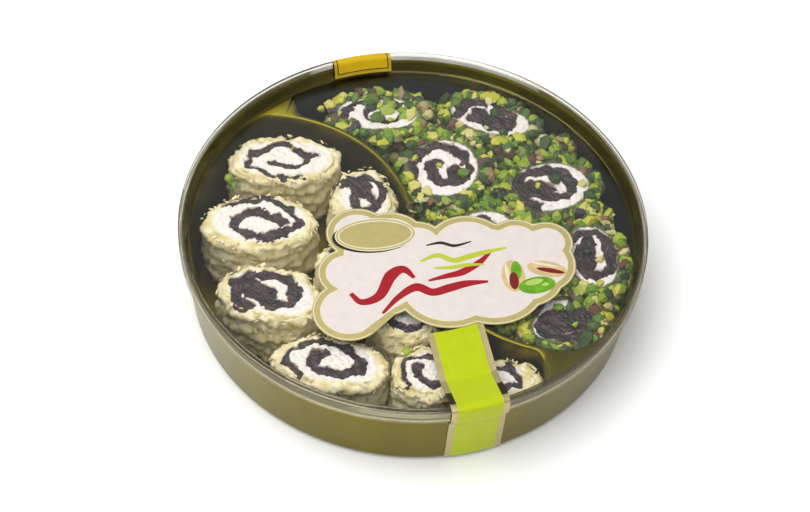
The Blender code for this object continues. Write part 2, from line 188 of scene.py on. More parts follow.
def aerated_candy(name, white, shade, coat_light, coat_deep, coat_height):
    """Whipped white candy, chalky and crumbly where it is cut, with painted shade in the pits of the cut,
    under a coat of finer crumbs.
    """
    material, tree, shader = new_material(
        name, IOR=1.45, Subsurface_Weight=0.12, Subsurface_Radius=(1.2, 0.9, 0.6), Subsurface_Scale=0.8 * MM
    )
    fine = speckle(tree, 0.7 * MM, 4.0, 0.65)
    broad = speckle(tree, 5 * MM, 3.0)
    # The cut turns to the shade colour where the fine bump sinks: painted shade in its pits.
    cut = add_node(tree, RAMP, {"Fac": fine}, [(0.28, linear(shade)), (0.55, linear(white))])
    crumbs = add_node(tree, RAMP, {"Fac": broad}, [(0.32, linear(coat_deep)), (0.66, linear(coat_light))])
    coat = add_node(tree, ATTRIBUTE, attribute_name="coat").outputs["Fac"]
    ragged = add_node(tree, MATH, {0: coat, 1: fine}, operation="ADD")
    cover = add_node(tree, RANGE, {"Value": ragged.outputs[0], "From Min": 0.78, "From Max": 1.08})
    blend = {"Factor": cover.outputs["Result"], 6: cut.outputs["Color"], 7: crumbs.outputs["Color"]}
    outside = add_node(tree, MIX, blend, data_type="RGBA")
    seam = add_node(tree, ATTRIBUTE, attribute_name="seam").outputs["Fac"]
    smear = add_node(tree, MATH, {0: seam, 1: broad}, operation="MULTIPLY")
    stain = add_node(tree, RANGE, {"Value": smear.outputs[0], "From Min": 0.28, "From Max": 0.56})
    blend = {"Factor": stain.outputs["Result"], 6: outside.outputs[2], 7: linear("#8A6A58")}
    stained = add_node(tree, MIX, blend, data_type="RGBA")
    tree.links.new(stained.outputs[2], shader.inputs["Base Color"])
    add_node(tree, RANGE, {"Value": broad, "To Min": 0.55, "To Max": 0.85}, into=shader.inputs["Roughness"])
    bump(tree, shader, fine, coat_height)
    return material


def dark_jelly():
    """Boiled starch jelly with cocoa, cut with a wire: near black, moist, with reddish thin edges."""
    material, tree, shader = new_material(
        "dark_jelly_candy_cut", IOR=1.46, Coat_Weight=0.12, Coat_Roughness=0.25
    )
    grain = speckle(tree, 5.0 * MM, 4.0, 0.55)
    stops = ((0.30, "#1C1415"), (0.52, "#2E2122"), (0.68, "#45302B"), (0.82, "#80502F"))
    add_node(tree, RAMP, {"Fac": grain}, ramp_stops(stops), into=shader.inputs["Base Color"])
    gloss = {"Value": speckle(tree, 1.2 * MM), "To Min": 0.38, "To Max": 0.7}
    add_node(tree, RANGE, gloss, into=shader.inputs["Roughness"])
    bump(tree, shader, speckle(tree, 1.1 * MM, 4.0), 0.10 * MM)
    return material


def chopped_kernel():
    """Chopped pistachio kernels: waxy green flesh of several ripenesses, some with purple skin."""
    material, tree, shader = new_material(
        "pistachio_kernel_chopped", IOR=1.47, Subsurface_Weight=0.1, Subsurface_Scale=0.7 * MM
    )
    kind = add_node(tree, ATTRIBUTE, attribute_name="kind").outputs["Fac"]
    green = ((0.00, "#25331F"), (0.20, "#3C5420"), (0.42, "#688C1E"), (0.60, "#98AC2A"))
    ripe = ((0.75, "#C6BF3A"), (0.85, "#CFC48E"), (0.92, "#7A4A35"), (1.00, "#3F2A2E"))
    flesh = add_node(tree, RAMP, {"Fac": kind}, ramp_stops(green + ripe))
    mottle = add_node(tree, RANGE, {"Value": speckle(tree, 1.1 * MM), "To Min": 0.72, "To Max": 1.22})
    tinted = {0: flesh.outputs["Color"], "Scale": mottle.outputs["Result"]}
    add_node(tree, "ShaderNodeVectorMath", tinted, into=shader.inputs["Base Color"], operation="SCALE")
    gloss = {"Value": speckle(tree, 2 * MM), "To Min": 0.38, "To Max": 0.68}
    add_node(tree, RANGE, gloss, into=shader.inputs["Roughness"])
    bump(tree, shader, speckle(tree, 0.6 * MM, 3.0), 0.12 * MM)
    return material


def grated_coconut():
    """Desiccated coconut, grated and dried: matt cream slivers, a little translucent."""
    material, tree, shader = new_material(
        "coconut_grated_dried", IOR=1.45, Subsurface_Weight=0.25, Subsurface_Scale=0.8 * MM
    )
    kind = add_node(tree, ATTRIBUTE, attribute_name="kind").outputs["Fac"]
    stops = ((0.0, "#C9B878"), (0.4, "#DFD3A2"), (1.0, "#EBE1BE"))
    add_node(tree, RAMP, {"Fac": kind}, ramp_stops(stops), into=shader.inputs["Base Color"])
    gloss = {"Value": speckle(tree, 2 * MM), "To Min": 0.55, "To Max": 0.8}
    add_node(tree, RANGE, gloss, into=shader.inputs["Roughness"])
    return material


def printed_paper(name, code, roughness=0.38, metallic=0.0, depth=0.04):
    """Coated paper printed with one ink: smooth, with a faint unevenness of ink and gloss."""
    material, tree, shader = new_material(name, Metallic=metallic, IOR=1.5, Specular_IOR_Level=0.22)
    cloud = speckle(tree, 4 * MM, 3.0)
    ink = linear(code)
    thin, thick = scaled(ink, 1 + depth), scaled(ink, 1 - depth)
    add_node(tree, RAMP, {"Fac": cloud}, [(0.3, thick), (0.7, thin)], into=shader.inputs["Base Color"])
    gloss = {"Value": cloud, "To Min": roughness * 0.85, "To Max": roughness * 1.15}
    add_node(tree, RANGE, gloss, into=shader.inputs["Roughness"])
    bump(tree, shader, speckle(tree, 0.5 * MM), 0.01 * MM)
    return material


# ---------------------------------------------------------------- mesh makers


def new_piece(name, points, faces, materials):
    """A mesh object, linked to the scene."""
    mesh = bpy.data.meshes.new(name)
    mesh.from_pydata([tuple(p) for p in points], [], [tuple(f) for f in faces])
    mesh.validate()
    for material in materials:
        mesh.materials.append(material)
    piece = bpy.data.objects.new(name, mesh)
    bpy.context.scene.collection.objects.link(piece)
    return piece


def finish_piece(piece, nodes=(), smooth=40):
    """Shade a piece, seat it on the body and hide the CAD nodes it stands for."""
    piece.data.shade_smooth()
    piece.data.set_sharp_from_angle(angle=math.radians(smooth))
    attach(piece, "root")
    if nodes:
        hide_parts(*nodes)
    return piece


def set_attribute(piece, name, values):
    """Store one number for each point of a piece."""
    layer = piece.data.attributes.new(name, "FLOAT", "POINT")
    layer.data.foreach_set("value", np.asarray(values, dtype=np.float32))


def ring_faces(rows, around, close_rows=False):
    """Quads between rows of points that close on themselves."""
    faces = []
    last = rows if close_rows else rows - 1
    for row in range(last):
        below = row * around
        above = ((row + 1) % rows) * around
        for i in range(around):
            j = (i + 1) % around
            faces.append((below + i, below + j, above + j, above + i))
    return faces


def even_turns(count):
    """Angles spread evenly all the way round."""
    return np.linspace(0, FULL_TURN, count, endpoint=False)


def toward(turn):
    """The unit heading in plan at an angle."""
    return np.array([math.cos(turn), math.sin(turn)])


def lathe_rows(profile, steps):
    """Points of a (radius, height) profile turned about the box's axis, row by row."""
    turns = even_turns(steps)
    rows = [np.stack([r * np.cos(turns), r * np.sin(turns), np.full(steps, z)], 1) for r, z in profile]
    return np.concatenate(rows)


def ripple(points, wavelength, seed, waves=14):
    """Smooth seeded unevenness of about unit height, from waves of many headings."""
    rng = np.random.default_rng(seed)
    total = np.zeros(len(points))
    for _ in range(waves):
        heading = rng.normal(size=points.shape[1])
        heading /= np.linalg.norm(heading)
        pace = FULL_TURN / (wavelength * rng.uniform(0.65, 1.5))
        total += np.sin(points @ heading * pace + rng.uniform(0, FULL_TURN))
    return total / math.sqrt(waves / 2)


def ease(value, low, high):
    """Rise smoothly from 0 at low to 1 at high."""
    share = np.clip((value - low) / (high - low), 0.0, 1.0)
    return share * share * (3 - 2 * share)


def keep_inside(points):
    """Hold points between the tub's floor and the lid's panel, and within the tub's wall."""
    heights = np.clip(points[:, 2], 0.9 * MM, PANEL_TOP - SHEET - 0.12 * MM)
    limit = np.interp(heights, (0.8 * MM, 4.0 * MM, SHOULDER), (91.0 * MM, 94.6 * MM, 96.5 * MM))
    reach = np.linalg.norm(points[:, :2], axis=1)
    share = np.minimum(1.0, limit / np.maximum(reach, MM))
    return np.column_stack([points[:, :2] * share[:, None], heights])


# ---------------------------------------------------------------- what the frame says about a roll


# Rays cast at a roll to read its outline.
OUTLINE_STEPS = 72


class RollShape:
    """A CAD roll as its candy is built on it: its outline, its cut face and its dark layer."""

    def __init__(self, node):
        self.node = node
        self.low, self.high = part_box(node)
        self.centre = np.array(((self.low + self.high) / 2)[:2])
        self.floor = self.low.z
        self.outline = self.read_outline()
        self.face = self.read_face()
        self.band = self.read_band()

    def read_outline(self):
        """Radii of the roll at mid height, all the way round, with the flats' corners eased."""
        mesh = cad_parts[self.node].data
        solid = BVHTree.FromPolygons([v.co for v in mesh.vertices], [p.vertices for p in mesh.polygons])
        far = 60 * MM
        middle = (self.low.z + self.high.z) / 2
        radii = []
        for turn in even_turns(OUTLINE_STEPS):
            along = Vector((math.cos(turn), math.sin(turn), 0))
            start = Vector((*self.centre, middle)) + along * far
            hit = solid.ray_cast(start, -along)
            radii.append(far - hit[3] if hit[0] else 10 * MM)
        radii = np.array(radii)
        weights = ((-2, 1), (-1, 2), (0, 3), (1, 2), (2, 1))
        eased = sum(np.roll(radii, shift) * weight for shift, weight in weights)
        return eased / 9

    def radius(self, turns):
        """The outline's radius at any angles."""
        places = even_turns(OUTLINE_STEPS)
        return np.interp(np.mod(turns, FULL_TURN), places, self.outline, period=FULL_TURN)

    def read_face(self):
        """The plane of the cut face: height = a + b x + c y."""
        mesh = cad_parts[self.node + "_filling"].data
        points = np.array([v.co for v in mesh.vertices])
        points = points[points[:, 2] > (self.low.z + self.high.z) / 2]
        table = np.column_stack([np.ones(len(points)), points[:, :2]])
        return np.linalg.lstsq(table, points[:, 2], rcond=None)[0]

    def face_height(self, plan):
        """Height of the cut face over places in plan."""
        return np.minimum(self.face[0] + plan @ self.face[1:], self.high.z)

    def read_band(self):
        """The dark layer's outline in plan, as loose straight segments."""
        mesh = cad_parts[self.node + "_filling"].data
        counts = {}
        for polygon in mesh.polygons:
            if polygon.normal.z < 0.7:
                continue
            corners = [tuple(round(c, 6) for c in mesh.vertices[v].co[:2]) for v in polygon.vertices]
            for a, b in zip(corners, corners[1:] + corners[:1]):
                key = (min(a, b), max(a, b))
                counts[key] = counts.get(key, 0) + 1
        return np.array([key for key, count in counts.items() if count == 1])

    def band_distance(self, plan):
        """Distance in plan to the dark layer's edge, negative inside it."""
        start, end = self.band[:, 0], self.band[:, 1]
        along = end - start
        to_point = plan[:, None, :] - start[None]
        share = np.clip((to_point * along).sum(-1) / (along * along).sum(-1), 0, 1)
        away = np.linalg.norm(to_point - share[..., None] * along, axis=-1).min(1)
        height = plan[:, 1, None]
        spans = (start[:, 1] > height) != (end[:, 1] > height)
        rise = np.where(end[:, 1] == start[:, 1], 1.0, end[:, 1] - start[:, 1])
        crossing = start[:, 0] + (height - start[:, 1]) * (end[:, 0] - start[:, 0]) / rise
        inside = (spans & (plan[:, 0, None] < crossing)).sum(1) % 2 == 1
        return np.where(inside, -away, away)


def dark_depth(shape, plan, seed, blots):
    """How far each place is from the dark jelly: squeezed, torn and blotted, negative inside it."""
    warp_x = ripple(plan, 13 * MM, seed) * 0.75 * MM + ripple(plan, 4 * MM, seed + 1) * 0.18 * MM
    warp_y = ripple(plan, 13 * MM, seed + 2) * 0.75 * MM + ripple(plan, 4 * MM, seed + 3) * 0.18 * MM
    warped = plan + np.column_stack([warp_x, warp_y])
    away = shape.band_distance(warped)
    torn = ripple(plan, 10 * MM, seed + 4) * 0.38 * MM
    away += torn + ripple(plan, 1.5 * MM, seed + 5) * 0.14 * MM - 0.1 * MM
    for x, y, half_long, half_wide, turn in blots:
        c, s = math.cos(math.radians(turn)), math.sin(math.radians(turn))
        moved = warped - shape.centre - np.array((x, y)) * MM
        seen = moved @ np.array(((c, -s), (s, c))) / np.array((half_long * MM, half_wide * MM))
        away = np.minimum(away, (np.linalg.norm(seen, axis=1) - 1.0) * half_wide * MM)
    return np.maximum(away, plan[:, 0] - COVERED_BEYOND.get(shape.node, 1.0))


# Blots where the jelly has run together: place in millimetres from a roll's centre, half sizes and turn.
ROLL_BLOTS = {
    "coconut_roll_1": ((-12.0, 2.0, 5.0, 1.6, 40), (9.0, 3.0, 5.0, 1.4, -20)),
    "coconut_roll_2": ((-10.0, -1.0, 4.5, 2.4, 70), (9.0, 2.0, 4.0, 2.0, -60)),
    "coconut_roll_3": ((-6.0, 1.0, 9.5, 5.0, -28), (10.0, 1.0, 4.0, 2.4, 40)),
    "coconut_roll_4": ((-6.0, 1.0, 5.0, 3.0, 60), (13.0, -1.0, 3.4, 4.5, 0)),
    "coconut_roll_5": ((-2.5, 5.0, 4.2, 6.0, 15), (3.5, -2.0, 5.0, 1.6, -50)),
    "pistachio_roll_2": ((0.0, 0.0, 11.0, 3.8, -22),),
    "pistachio_roll_3": ((5.0, -4.0, 4.0, 6.5, 10),),
    "pistachio_roll_4": ((-5.0, -2.0, 9.0, 5.0, 10), (9.0, 5.0, 3.6, 5.5, 10)),
    "pistachio_roll_5": ((-2.0, 0.0, 4.2, 13.0, 0), (6.0, 0.0, 1.8, 9.0, 5)),
    "pistachio_roll_6": ((0.0, 0.0, 9.5, 6.0, 12),),
}

# How far along x a roll shows its cut; beyond it the coat folds over the end.
COVERED_BEYOND = {"coconut_roll_7": 49 * MM}

AROUND = 168
SIDE_ROWS = 22
EDGE_ROWS = 8
FACE_ROWS = 46
EDGE_ROUND = 3.6 * MM
HEART = 0.03
GROOVE_DEPTH = 1.9 * MM
JELLY_AROUND = 150
JELLY_ROWS = 60
JELLY_SINK = 0.50 * MM
JELLY_DEPTH = 3.0 * MM


def roll_seed(shape):
    """A seed of each roll's own."""
    return sum(ord(letter) * (place + 3) for place, letter in enumerate(shape.node)) % 9973


def candy_body(shape, material, coat_relief):
    """The pale candy of one roll: coated side, rounded edge and a cut face grooved for the jelly."""
    seed = roll_seed(shape)
    turns = even_turns(AROUND)
    wavy = shape.radius(turns)
    heading = np.column_stack([np.cos(turns), np.sin(turns)])
    rows, outward, coats = [], [], []
    for i in range(SIDE_ROWS):
        level = i / SIDE_ROWS
        swell = 0.965 + 0.035 * math.sin(math.pi * min(1.0, 0.15 + level))
        plan = shape.centre + heading * (wavy * swell)[:, None]
        top = shape.face_height(plan) - EDGE_ROUND
        rows.append(np.column_stack([plan, shape.floor + (top - shape.floor) * level]))
        outward.append(np.column_stack([heading, np.zeros(AROUND)]))
        coats.append(np.full(AROUND, 1.0))
    for i in range(EDGE_ROWS):
        lean = (i / EDGE_ROWS) * math.pi / 2
        plan = shape.centre + heading * (wavy * 0.98 - EDGE_ROUND * (1 - math.cos(lean)))[:, None]
        top = shape.face_height(plan) - EDGE_ROUND * (1 - math.sin(lean))
        rows.append(np.column_stack([plan, top]))
        outward.append(np.column_stack([heading * math.cos(lean), np.full(AROUND, math.sin(lean))]))
        coats.append(np.full(AROUND, 1.0 - 0.35 * math.sin(lean)))
    inner = wavy * 0.98 - EDGE_ROUND
    for i in range(FACE_ROWS):
        share = 1 - (1 - HEART) * i / (FACE_ROWS - 1)
        plan = shape.centre + heading * (inner * share)[:, None]
        rows.append(np.column_stack([plan, shape.face_height(plan)]))
        outward.append(np.tile([0.0, 0.0, 1.0], (AROUND, 1)))
        rim = (1 - share) * inner
        coats.append(0.65 * (1 - ease(rim, 0.2 * MM, 2.6 * MM)))
    points = np.concatenate(rows)
    outward = np.concatenate(outward)
    coats = np.concatenate(coats)
    away = dark_depth(shape, points[:, :2], seed, ROLL_BLOTS.get(shape.node, ()))
    rim_share = np.linalg.norm(points[:, :2] - shape.centre, axis=1) / np.tile(wavy, len(rows))
    flat = outward[:, 2] > 0.99
    away = np.where(flat & (rim_share < 0.93), away, np.maximum(away, (rim_share - 0.90) * 12 * MM))
    crumbs = ripple(points, 2.0 * MM, seed + 10) * 0.20 + ripple(points, 4.0 * MM, seed + 11) * 0.34
    lumps = ripple(points, 8 * MM, seed + 12) * 0.45
    folds = ripple(points * np.array((1.0, 1.0, 2.2)), 14 * MM, seed + 13) * 0.5
    relief = np.where(flat, crumbs * 0.55 * MM, (crumbs + lumps + folds) * coat_relief - coat_relief * 0.4)
    groove = np.where(flat, GROOVE_DEPTH * ease(-away, -0.25 * MM, 0.55 * MM), 0.0)
    relief = np.clip(relief, -2.2 * MM, 1.2 * MM) - groove
    points = points + outward * relief[:, None]
    points[:AROUND, 2] = shape.floor
    points = keep_inside(points)
    heart = len(points)
    points = np.vstack([points, points[-AROUND:].mean(0)])
    faces = ring_faces(len(rows), AROUND)
    faces += [(heart - AROUND + i, heart - AROUND + (i + 1) % AROUND, heart) for i in range(AROUND)]
    faces.append(tuple(reversed(range(AROUND))))
    piece = new_piece(shape.node + "_candy", points, faces, [material])
    folded = COVERED_BEYOND.get(shape.node, 1.0)
    cover = ease(points[:, 0], folded - 1.5 * MM, folded + MM)
    set_attribute(piece, "coat", np.append(np.maximum(coats, cover[:-1]), 0.0))
    seam = 1 - ease(away, -0.2 * MM, 1.3 * MM)
    set_attribute(piece, "seam", np.append(np.where(flat, seam, 0.0), 0.0))
    return finish_piece(piece, [shape.node], 60)


def jelly_layer(shape, material):
    """The dark jelly of one roll, as it stands in the groove of the cut face."""
    seed = roll_seed(shape)
    turns = even_turns(JELLY_AROUND)
    heading = np.column_stack([np.cos(turns), np.sin(turns)])
    reach = shape.radius(turns) * 0.92
    shares = np.linspace(1.0, HEART, JELLY_ROWS)
    plan = np.concatenate([shape.centre + heading * (reach * share)[:, None] for share in shares])
    away = dark_depth(shape, plan, seed, ROLL_BLOTS.get(shape.node, ()))
    tooth = ripple(plan, 2.2 * MM, seed + 21) * 0.12 * MM + ripple(plan, 6 * MM, seed + 22) * 0.22 * MM
    top = shape.face_height(plan) - JELLY_SINK + np.clip(tooth, -0.5 * MM, 0.35 * MM)
    points = np.column_stack([plan, top])
    keep = away < 0.9 * MM
    faces = [f for f in ring_faces(JELLY_ROWS, JELLY_AROUND) if keep[list(f)].all()]
    used = sorted({v for f in faces for v in f})
    place = {v: i for i, v in enumerate(used)}
    faces = [tuple(place[v] for v in f) for f in faces]
    piece = new_piece(shape.node + "_jelly", points[used], faces, [material])
    thick = piece.modifiers.new("depth of the layer", "SOLIDIFY")
    thick.thickness = JELLY_DEPTH
    thick.offset = -1
    return finish_piece(piece, [shape.node + "_filling"], 60)


# ---------------------------------------------------------------- crumbs on the coats


def chunk_mould():
    """Corners and faces of a rough lump, to be squeezed into a crumb."""
    golden = (1 + math.sqrt(5)) / 2
    corners = []
    for a in (-1, 1):
        for b in (-golden, golden):
            corners += [(0, a, b), (a, b, 0), (b, 0, a)]
    corners = np.array(corners) / math.hypot(1, golden)
    faces = []
    count = len(corners)
    for i in range(count):
        for j in range(i + 1, count):
            for k in range(j + 1, count):
                a, b, c = corners[i], corners[j], corners[k]
                sides = (np.linalg.norm(a - b), np.linalg.norm(b - c), np.linalg.norm(c - a))
                if max(sides) < 1.1:
                    out = np.dot(np.cross(b - a, c - a), a + b + c) > 0
                    faces.append((i, j, k) if out else (i, k, j))
    return corners, faces


def strew(name, seats, sizes, material, rng, kinds, squash=(1.0, 0.82, 0.66), jitter=0.15):
    """Join many rough lumps into one piece: each seat is a place and the way it faces."""
    corners, mould_faces = chunk_mould()
    points, faces, shades = [], [], []
    for (place, facing), size, kind in zip(seats, sizes, kinds):
        spin = Matrix.Rotation(rng.uniform(0, FULL_TURN), 3, "Z")
        tip = Matrix.Rotation(rng.uniform(-0.5, 0.5), 3, "X")
        turn = np.array(Vector(facing).to_track_quat("Z", "Y").to_matrix() @ tip @ spin)
        lump = corners * (1 + rng.normal(0, jitter, (len(corners), 1)))
        lump = lump * np.array(squash) * size * rng.uniform(0.8, 1.2, 3)
        lump = keep_inside(lump @ turn.T + np.array(place))
        base = len(points) * len(corners)
        points.append(lump)
        faces += [tuple(base + v for v in face) for face in mould_faces]
        shades += [kind] * len(corners)
    piece = new_piece(name, np.concatenate(points), faces, [material])
    set_attribute(piece, "kind", shades)
    return finish_piece(piece, (), 25)


def side_seat(shape, turn, level, sink):
    """A place on a roll's side and the way it faces."""
    reach = float(shape.radius(np.array([turn]))[0]) - sink
    heading = toward(turn)
    plan = shape.centre + heading * reach
    top = float(shape.face_height(plan[None])[0])
    height = shape.floor + (top - shape.floor) * level
    facing = Vector((heading[0], heading[1], max(0.0, level - 0.75) * 3.0)).normalized()
    return (plan[0], plan[1], height), facing


def face_seat(shape, turn, share, lift):
    """A place on a roll's cut face."""
    reach = float(shape.radius(np.array([turn]))[0]) * share
    plan = shape.centre + toward(turn) * reach
    top = float(shape.face_height(plan[None])[0])
    return (plan[0], plan[1], top + lift), Vector((0, 0, 1))


def kernel_seats(shape, rng, on_side, on_edge, on_face):
    """Where the chopped pistachio sticks to one roll."""
    seats = []
    for _ in range(on_side):
        level = min(0.97, rng.beta(2.2, 1.1))
        seats.append(side_seat(shape, rng.uniform(0, FULL_TURN), level, rng.uniform(-0.6, 0.6) * MM))
    for _ in range(on_edge):
        turn, share = rng.uniform(0, FULL_TURN), rng.uniform(0.86, 0.99)
        seats.append(face_seat(shape, turn, share, rng.uniform(-0.8, 0.4) * MM))
    for _ in range(on_face):
        turn, share = rng.uniform(0, FULL_TURN), rng.uniform(0.1, 0.86)
        seats.append(face_seat(shape, turn, share, rng.uniform(0.0, 0.6) * MM))
    return seats


def heap_seats(rng, centre, half, low, high, count):
    """Loose crumbs that fill a gap between rolls."""
    seats = []
    for _ in range(count):
        turn = rng.uniform(0, FULL_TURN)
        reach = math.sqrt(rng.uniform(0, 1))
        height = low + (high - low) * rng.beta(2.5, 1.0) * (1 - 0.25 * reach)
        x = centre[0] + half[0] * reach * math.cos(turn)
        y = centre[1] + half[1] * reach * math.sin(turn)
        facing = Vector((rng.normal(0, 0.5), rng.normal(0, 0.5), 1.0)).normalized()
        seats.append(((x, y, height), facing))
    return seats


# ---------------------------------------------------------------- the tub


def arc_points(centre, radius, start, end, count):
    """Points of an arc, in degrees."""
    turns = np.radians(np.linspace(start, end, count))
    return [(centre[0] + radius * math.cos(t), centre[1] + radius * math.sin(t)) for t in turns]


def tub_profile():
    """The tub's sheet in section: floor, rounded foot, slanting wall and a small turned-out rim."""
    base, shoulder, rim = 95.7 * MM, 97.5 * MM, TUB_HIGH.x - 0.05 * MM
    top = TUB_HIGH.z - 0.05 * MM
    wall = 0.8 * MM
    bend = 4.0 * MM
    inside = [(AXIS, wall)]
    inside += arc_points((base - wall - bend + 0.4 * MM, wall + bend - 0.6 * MM), bend - 0.6 * MM, -90, -3, 8)
    inside += [(shoulder - wall, SHOULDER), (rim - 1.5 * MM, top - 0.7 * MM)]
    lip = arc_points((rim - 0.6 * MM, top - 0.5 * MM), 0.5 * MM, 150, -60, 9)
    outside = [(rim - 0.9 * MM, top - 1.5 * MM), (shoulder, SHOULDER)]
    outside += arc_points((base - bend, bend), bend, -3, -90, 9)
    outside += [(AXIS, 0.0)]
    return inside + lip + outside


DIVIDER_MIDDLE = np.array([0.0, 2.8 * MM])
ARC_CENTRE = np.array([-66.0 * MM, -5.8 * MM])
ARC_RADIUS = float(np.linalg.norm(ARC_CENTRE))
ARC_END = math.radians(112)
RIDGE_TOP = PANEL_TOP - SHEET - 0.3 * MM


def ridge_edges(turn):
    """Offsets of the divider's two top edges from its arc, where it widens into the land."""
    outer = min(max((turn - math.radians(79)) / math.radians(8), 0.0), 1.0)
    inner = min(max((turn - math.radians(92)) / math.radians(20), 0.0), 1.0)
    return 1.0 * MM + 20 * MM * outer**2, -1.0 * MM - 11 * MM * inner**1.2


def inside_wall(point, height):
    """Bring a place in plan back inside the middle of the tub's wall."""
    limit = np.interp(height, (0.0, 0.8 * MM, 4.0 * MM, SHOULDER), (91 * MM, 92.4 * MM, 95.2 * MM, 97.1 * MM))
    reach = np.linalg.norm(point)
    return point * min(1.0, limit / reach)


def divider_section(height, spread):
    """Outline of the whole S at one height."""
    start = math.atan2(-ARC_CENTRE[1], -ARC_CENTRE[0])
    turns = [start + (ARC_END - start) * i / 90 for i in range(1, 91)]
    outline = []
    for side in (1, -1):
        edges = [ridge_edges(t) for t in turns]
        for t, (outer, _) in zip(turns, edges):
            reach = ARC_RADIUS + outer + spread
            outline.append((ARC_CENTRE + toward(t) * reach) * side)
        for t, (_, inner) in reversed(list(zip(turns, edges))):
            reach = ARC_RADIUS + inner - spread
            outline.append((ARC_CENTRE + toward(t) * reach) * side)
    rows = [inside_wall(DIVIDER_MIDDLE + p, height) for p in outline]
    return np.column_stack([np.array(rows), np.full(len(rows), height)])


# ---------------------------------------------------------------- the lid


def lid_profiles():
    """The lid's sheet in section, as a clear flat panel and a rim of wall, ledge and skirt."""
    inner = LID_RADIUS - LEDGE_WIDTH - 0.2 * MM
    top = LID_TOP
    outer = LID_RADIUS - 0.2 * MM
    skirt = top - SKIRT_DROP
    upper = [(PANEL_RADIUS - 3.2 * MM, PANEL_TOP)]
    upper += arc_points((PANEL_RADIUS - 1.2 * MM, PANEL_TOP + 1.2 * MM), 1.2 * MM, -90, -9, 6)
    upper += arc_points((inner + 0.5 * MM, top - 0.5 * MM), 0.5 * MM, 171, 50, 6)
    upper += [(inner + 1.15 * MM, top - 0.45 * MM), (outer - 1.35 * MM, top - 0.45 * MM)]
    upper += arc_points((outer - 0.6 * MM, top - 0.6 * MM), 0.6 * MM, 130, 0, 7)
    upper += [(outer, top - 1.7 * MM), (outer - 0.35 * MM, top - 2.1 * MM)]
    upper += [(outer - 0.35 * MM, skirt + 1.9 * MM), (outer, skirt + 1.5 * MM)]
    upper += arc_points((outer - 0.35 * MM, skirt + 0.4 * MM), 0.4 * MM, 20, -90, 5)
    under = [(outer - SHEET - 0.1 * MM, skirt + 0.35 * MM), (outer - SHEET - 0.35 * MM, top - 1.6 * MM)]
    under += [(outer - 1.5 * MM, top - SHEET - 0.45 * MM), (inner + 1.2 * MM, top - SHEET - 0.45 * MM)]
    under += [(inner + 0.7 * MM, top - 1.5 * MM), (PANEL_RADIUS + 0.6 * MM, PANEL_TOP + 0.9 * MM)]
    under += [(PANEL_RADIUS - 0.9 * MM, PANEL_TOP - SHEET), (PANEL_RADIUS - 3.2 * MM, PANEL_TOP - SHEET)]
    return upper, under


def turned(profile, steps):
    """Points and faces of a turned sheet whose profile starts and ends at the axis."""
    last = (len(profile) - 1) * steps
    faces = ring_faces(len(profile), steps)
    faces += [tuple(reversed(range(steps))), tuple(range(last, last + steps))]
    return lathe_rows(profile, steps), faces


def join_meshes(*meshes):
    """Points and faces of several meshes as one."""
    points, faces, base = [], [], 0
    for some_points, some_faces in meshes:
        points.append(np.asarray(some_points))
        faces += [tuple(base + v for v in face) for face in some_faces]
        base += len(some_points)
    return np.concatenate(points), faces


def turn_faces_out(piece):
    """Point a closed piece's faces outward."""
    shape = bmesh.new()
    shape.from_mesh(piece.data)
    bmesh.ops.recalc_face_normals(shape, faces=shape.faces)
    shape.to_mesh(piece.data)
    shape.free()


# ---------------------------------------------------------------- label, band and seal


LABEL_CENTRE = np.array([12.0 * MM, -22.0 * MM])
LABEL_LOBES = (
    ((-23.5, -4.0), 13.7),
    ((-9.0, -6.0), 15.0),
    ((24.0, -8.0), 18.4),
    ((44.5, -2.0), 12.4),
    ((57.5, -1.0), 11.2),
    ((54.0, -13.0), 16.0),
    ((48.0, -20.0), 16.8),
    ((34.0, -24.0), 23.5),
    ((16.0, -28.0), 23.0),
    ((-24.0, -46.0), 15.3),
    ((-26.0, -26.0), 12.8),
    ((2.0, -9.0), 14.0),
    ((-10.0, -33.0), 14.0),
    ((-19.5, -15.0), 12.6),
    ((34.0, -6.0), 13.0),
)
BORDER = 3.4 * MM


def cloud_reach(turn, inset):
    """Distance from the label's centre to its outline, drawn in by an inset."""
    along = toward(turn)
    reach = 0.0
    for centre, radius in LABEL_LOBES:
        offset = np.array(centre) * MM - LABEL_CENTRE
        across = float(offset @ along)
        inside = across**2 + (radius * MM - inset) ** 2 - float(offset @ offset)
        if inside > 0:
            reach = max(reach, across + math.sqrt(inside))
    return reach


def cloud_outline(inset, count=360):
    """The label's outline, drawn in by an inset."""
    turns = even_turns(count)
    return np.array([LABEL_CENTRE + toward(t) * cloud_reach(t, inset) for t in turns])


def oval(centre, half_long, half_wide, turn, count=64):
    """An oval outline."""
    around = even_turns(count)
    x, y = half_long * np.cos(around), half_wide * np.sin(around)
    c, s = math.cos(turn), math.sin(turn)
    return np.column_stack([centre[0] + c * x - s * y, centre[1] + s * x + c * y])


def stroke(points, widths, samples=60):
    """Outline of a brush stroke through a few points, with a width at each."""
    points, widths = np.array(points, float), np.array(widths, float)
    knots = np.arange(len(points))
    fine = np.linspace(0, len(points) - 1, samples)
    path = np.column_stack([smooth_through(knots, points[:, k], fine) for k in (0, 1)])
    wide = np.interp(fine, knots, widths) / 2
    along = np.gradient(path, axis=0)
    along /= np.linalg.norm(along, axis=1)[:, None]
    across = np.column_stack([-along[:, 1], along[:, 0]]) * wide[:, None]
    return np.concatenate([path - across, (path + across)[::-1]])


def smooth_through(knots, values, places):
    """Values of a smooth curve through knots, by Hermite pieces."""
    slopes = np.gradient(values, knots)
    index = np.clip(np.searchsorted(knots, places, side="right") - 1, 0, len(knots) - 2)
    t = places - knots[index]
    a, b, ma, mb = values[index], values[index + 1], slopes[index], slopes[index + 1]
    near = a * (2 * t**3 - 3 * t**2 + 1) + ma * (t**3 - 2 * t**2 + t)
    return near + b * (3 * t**2 - 2 * t**3) + mb * (t**3 - t**2)


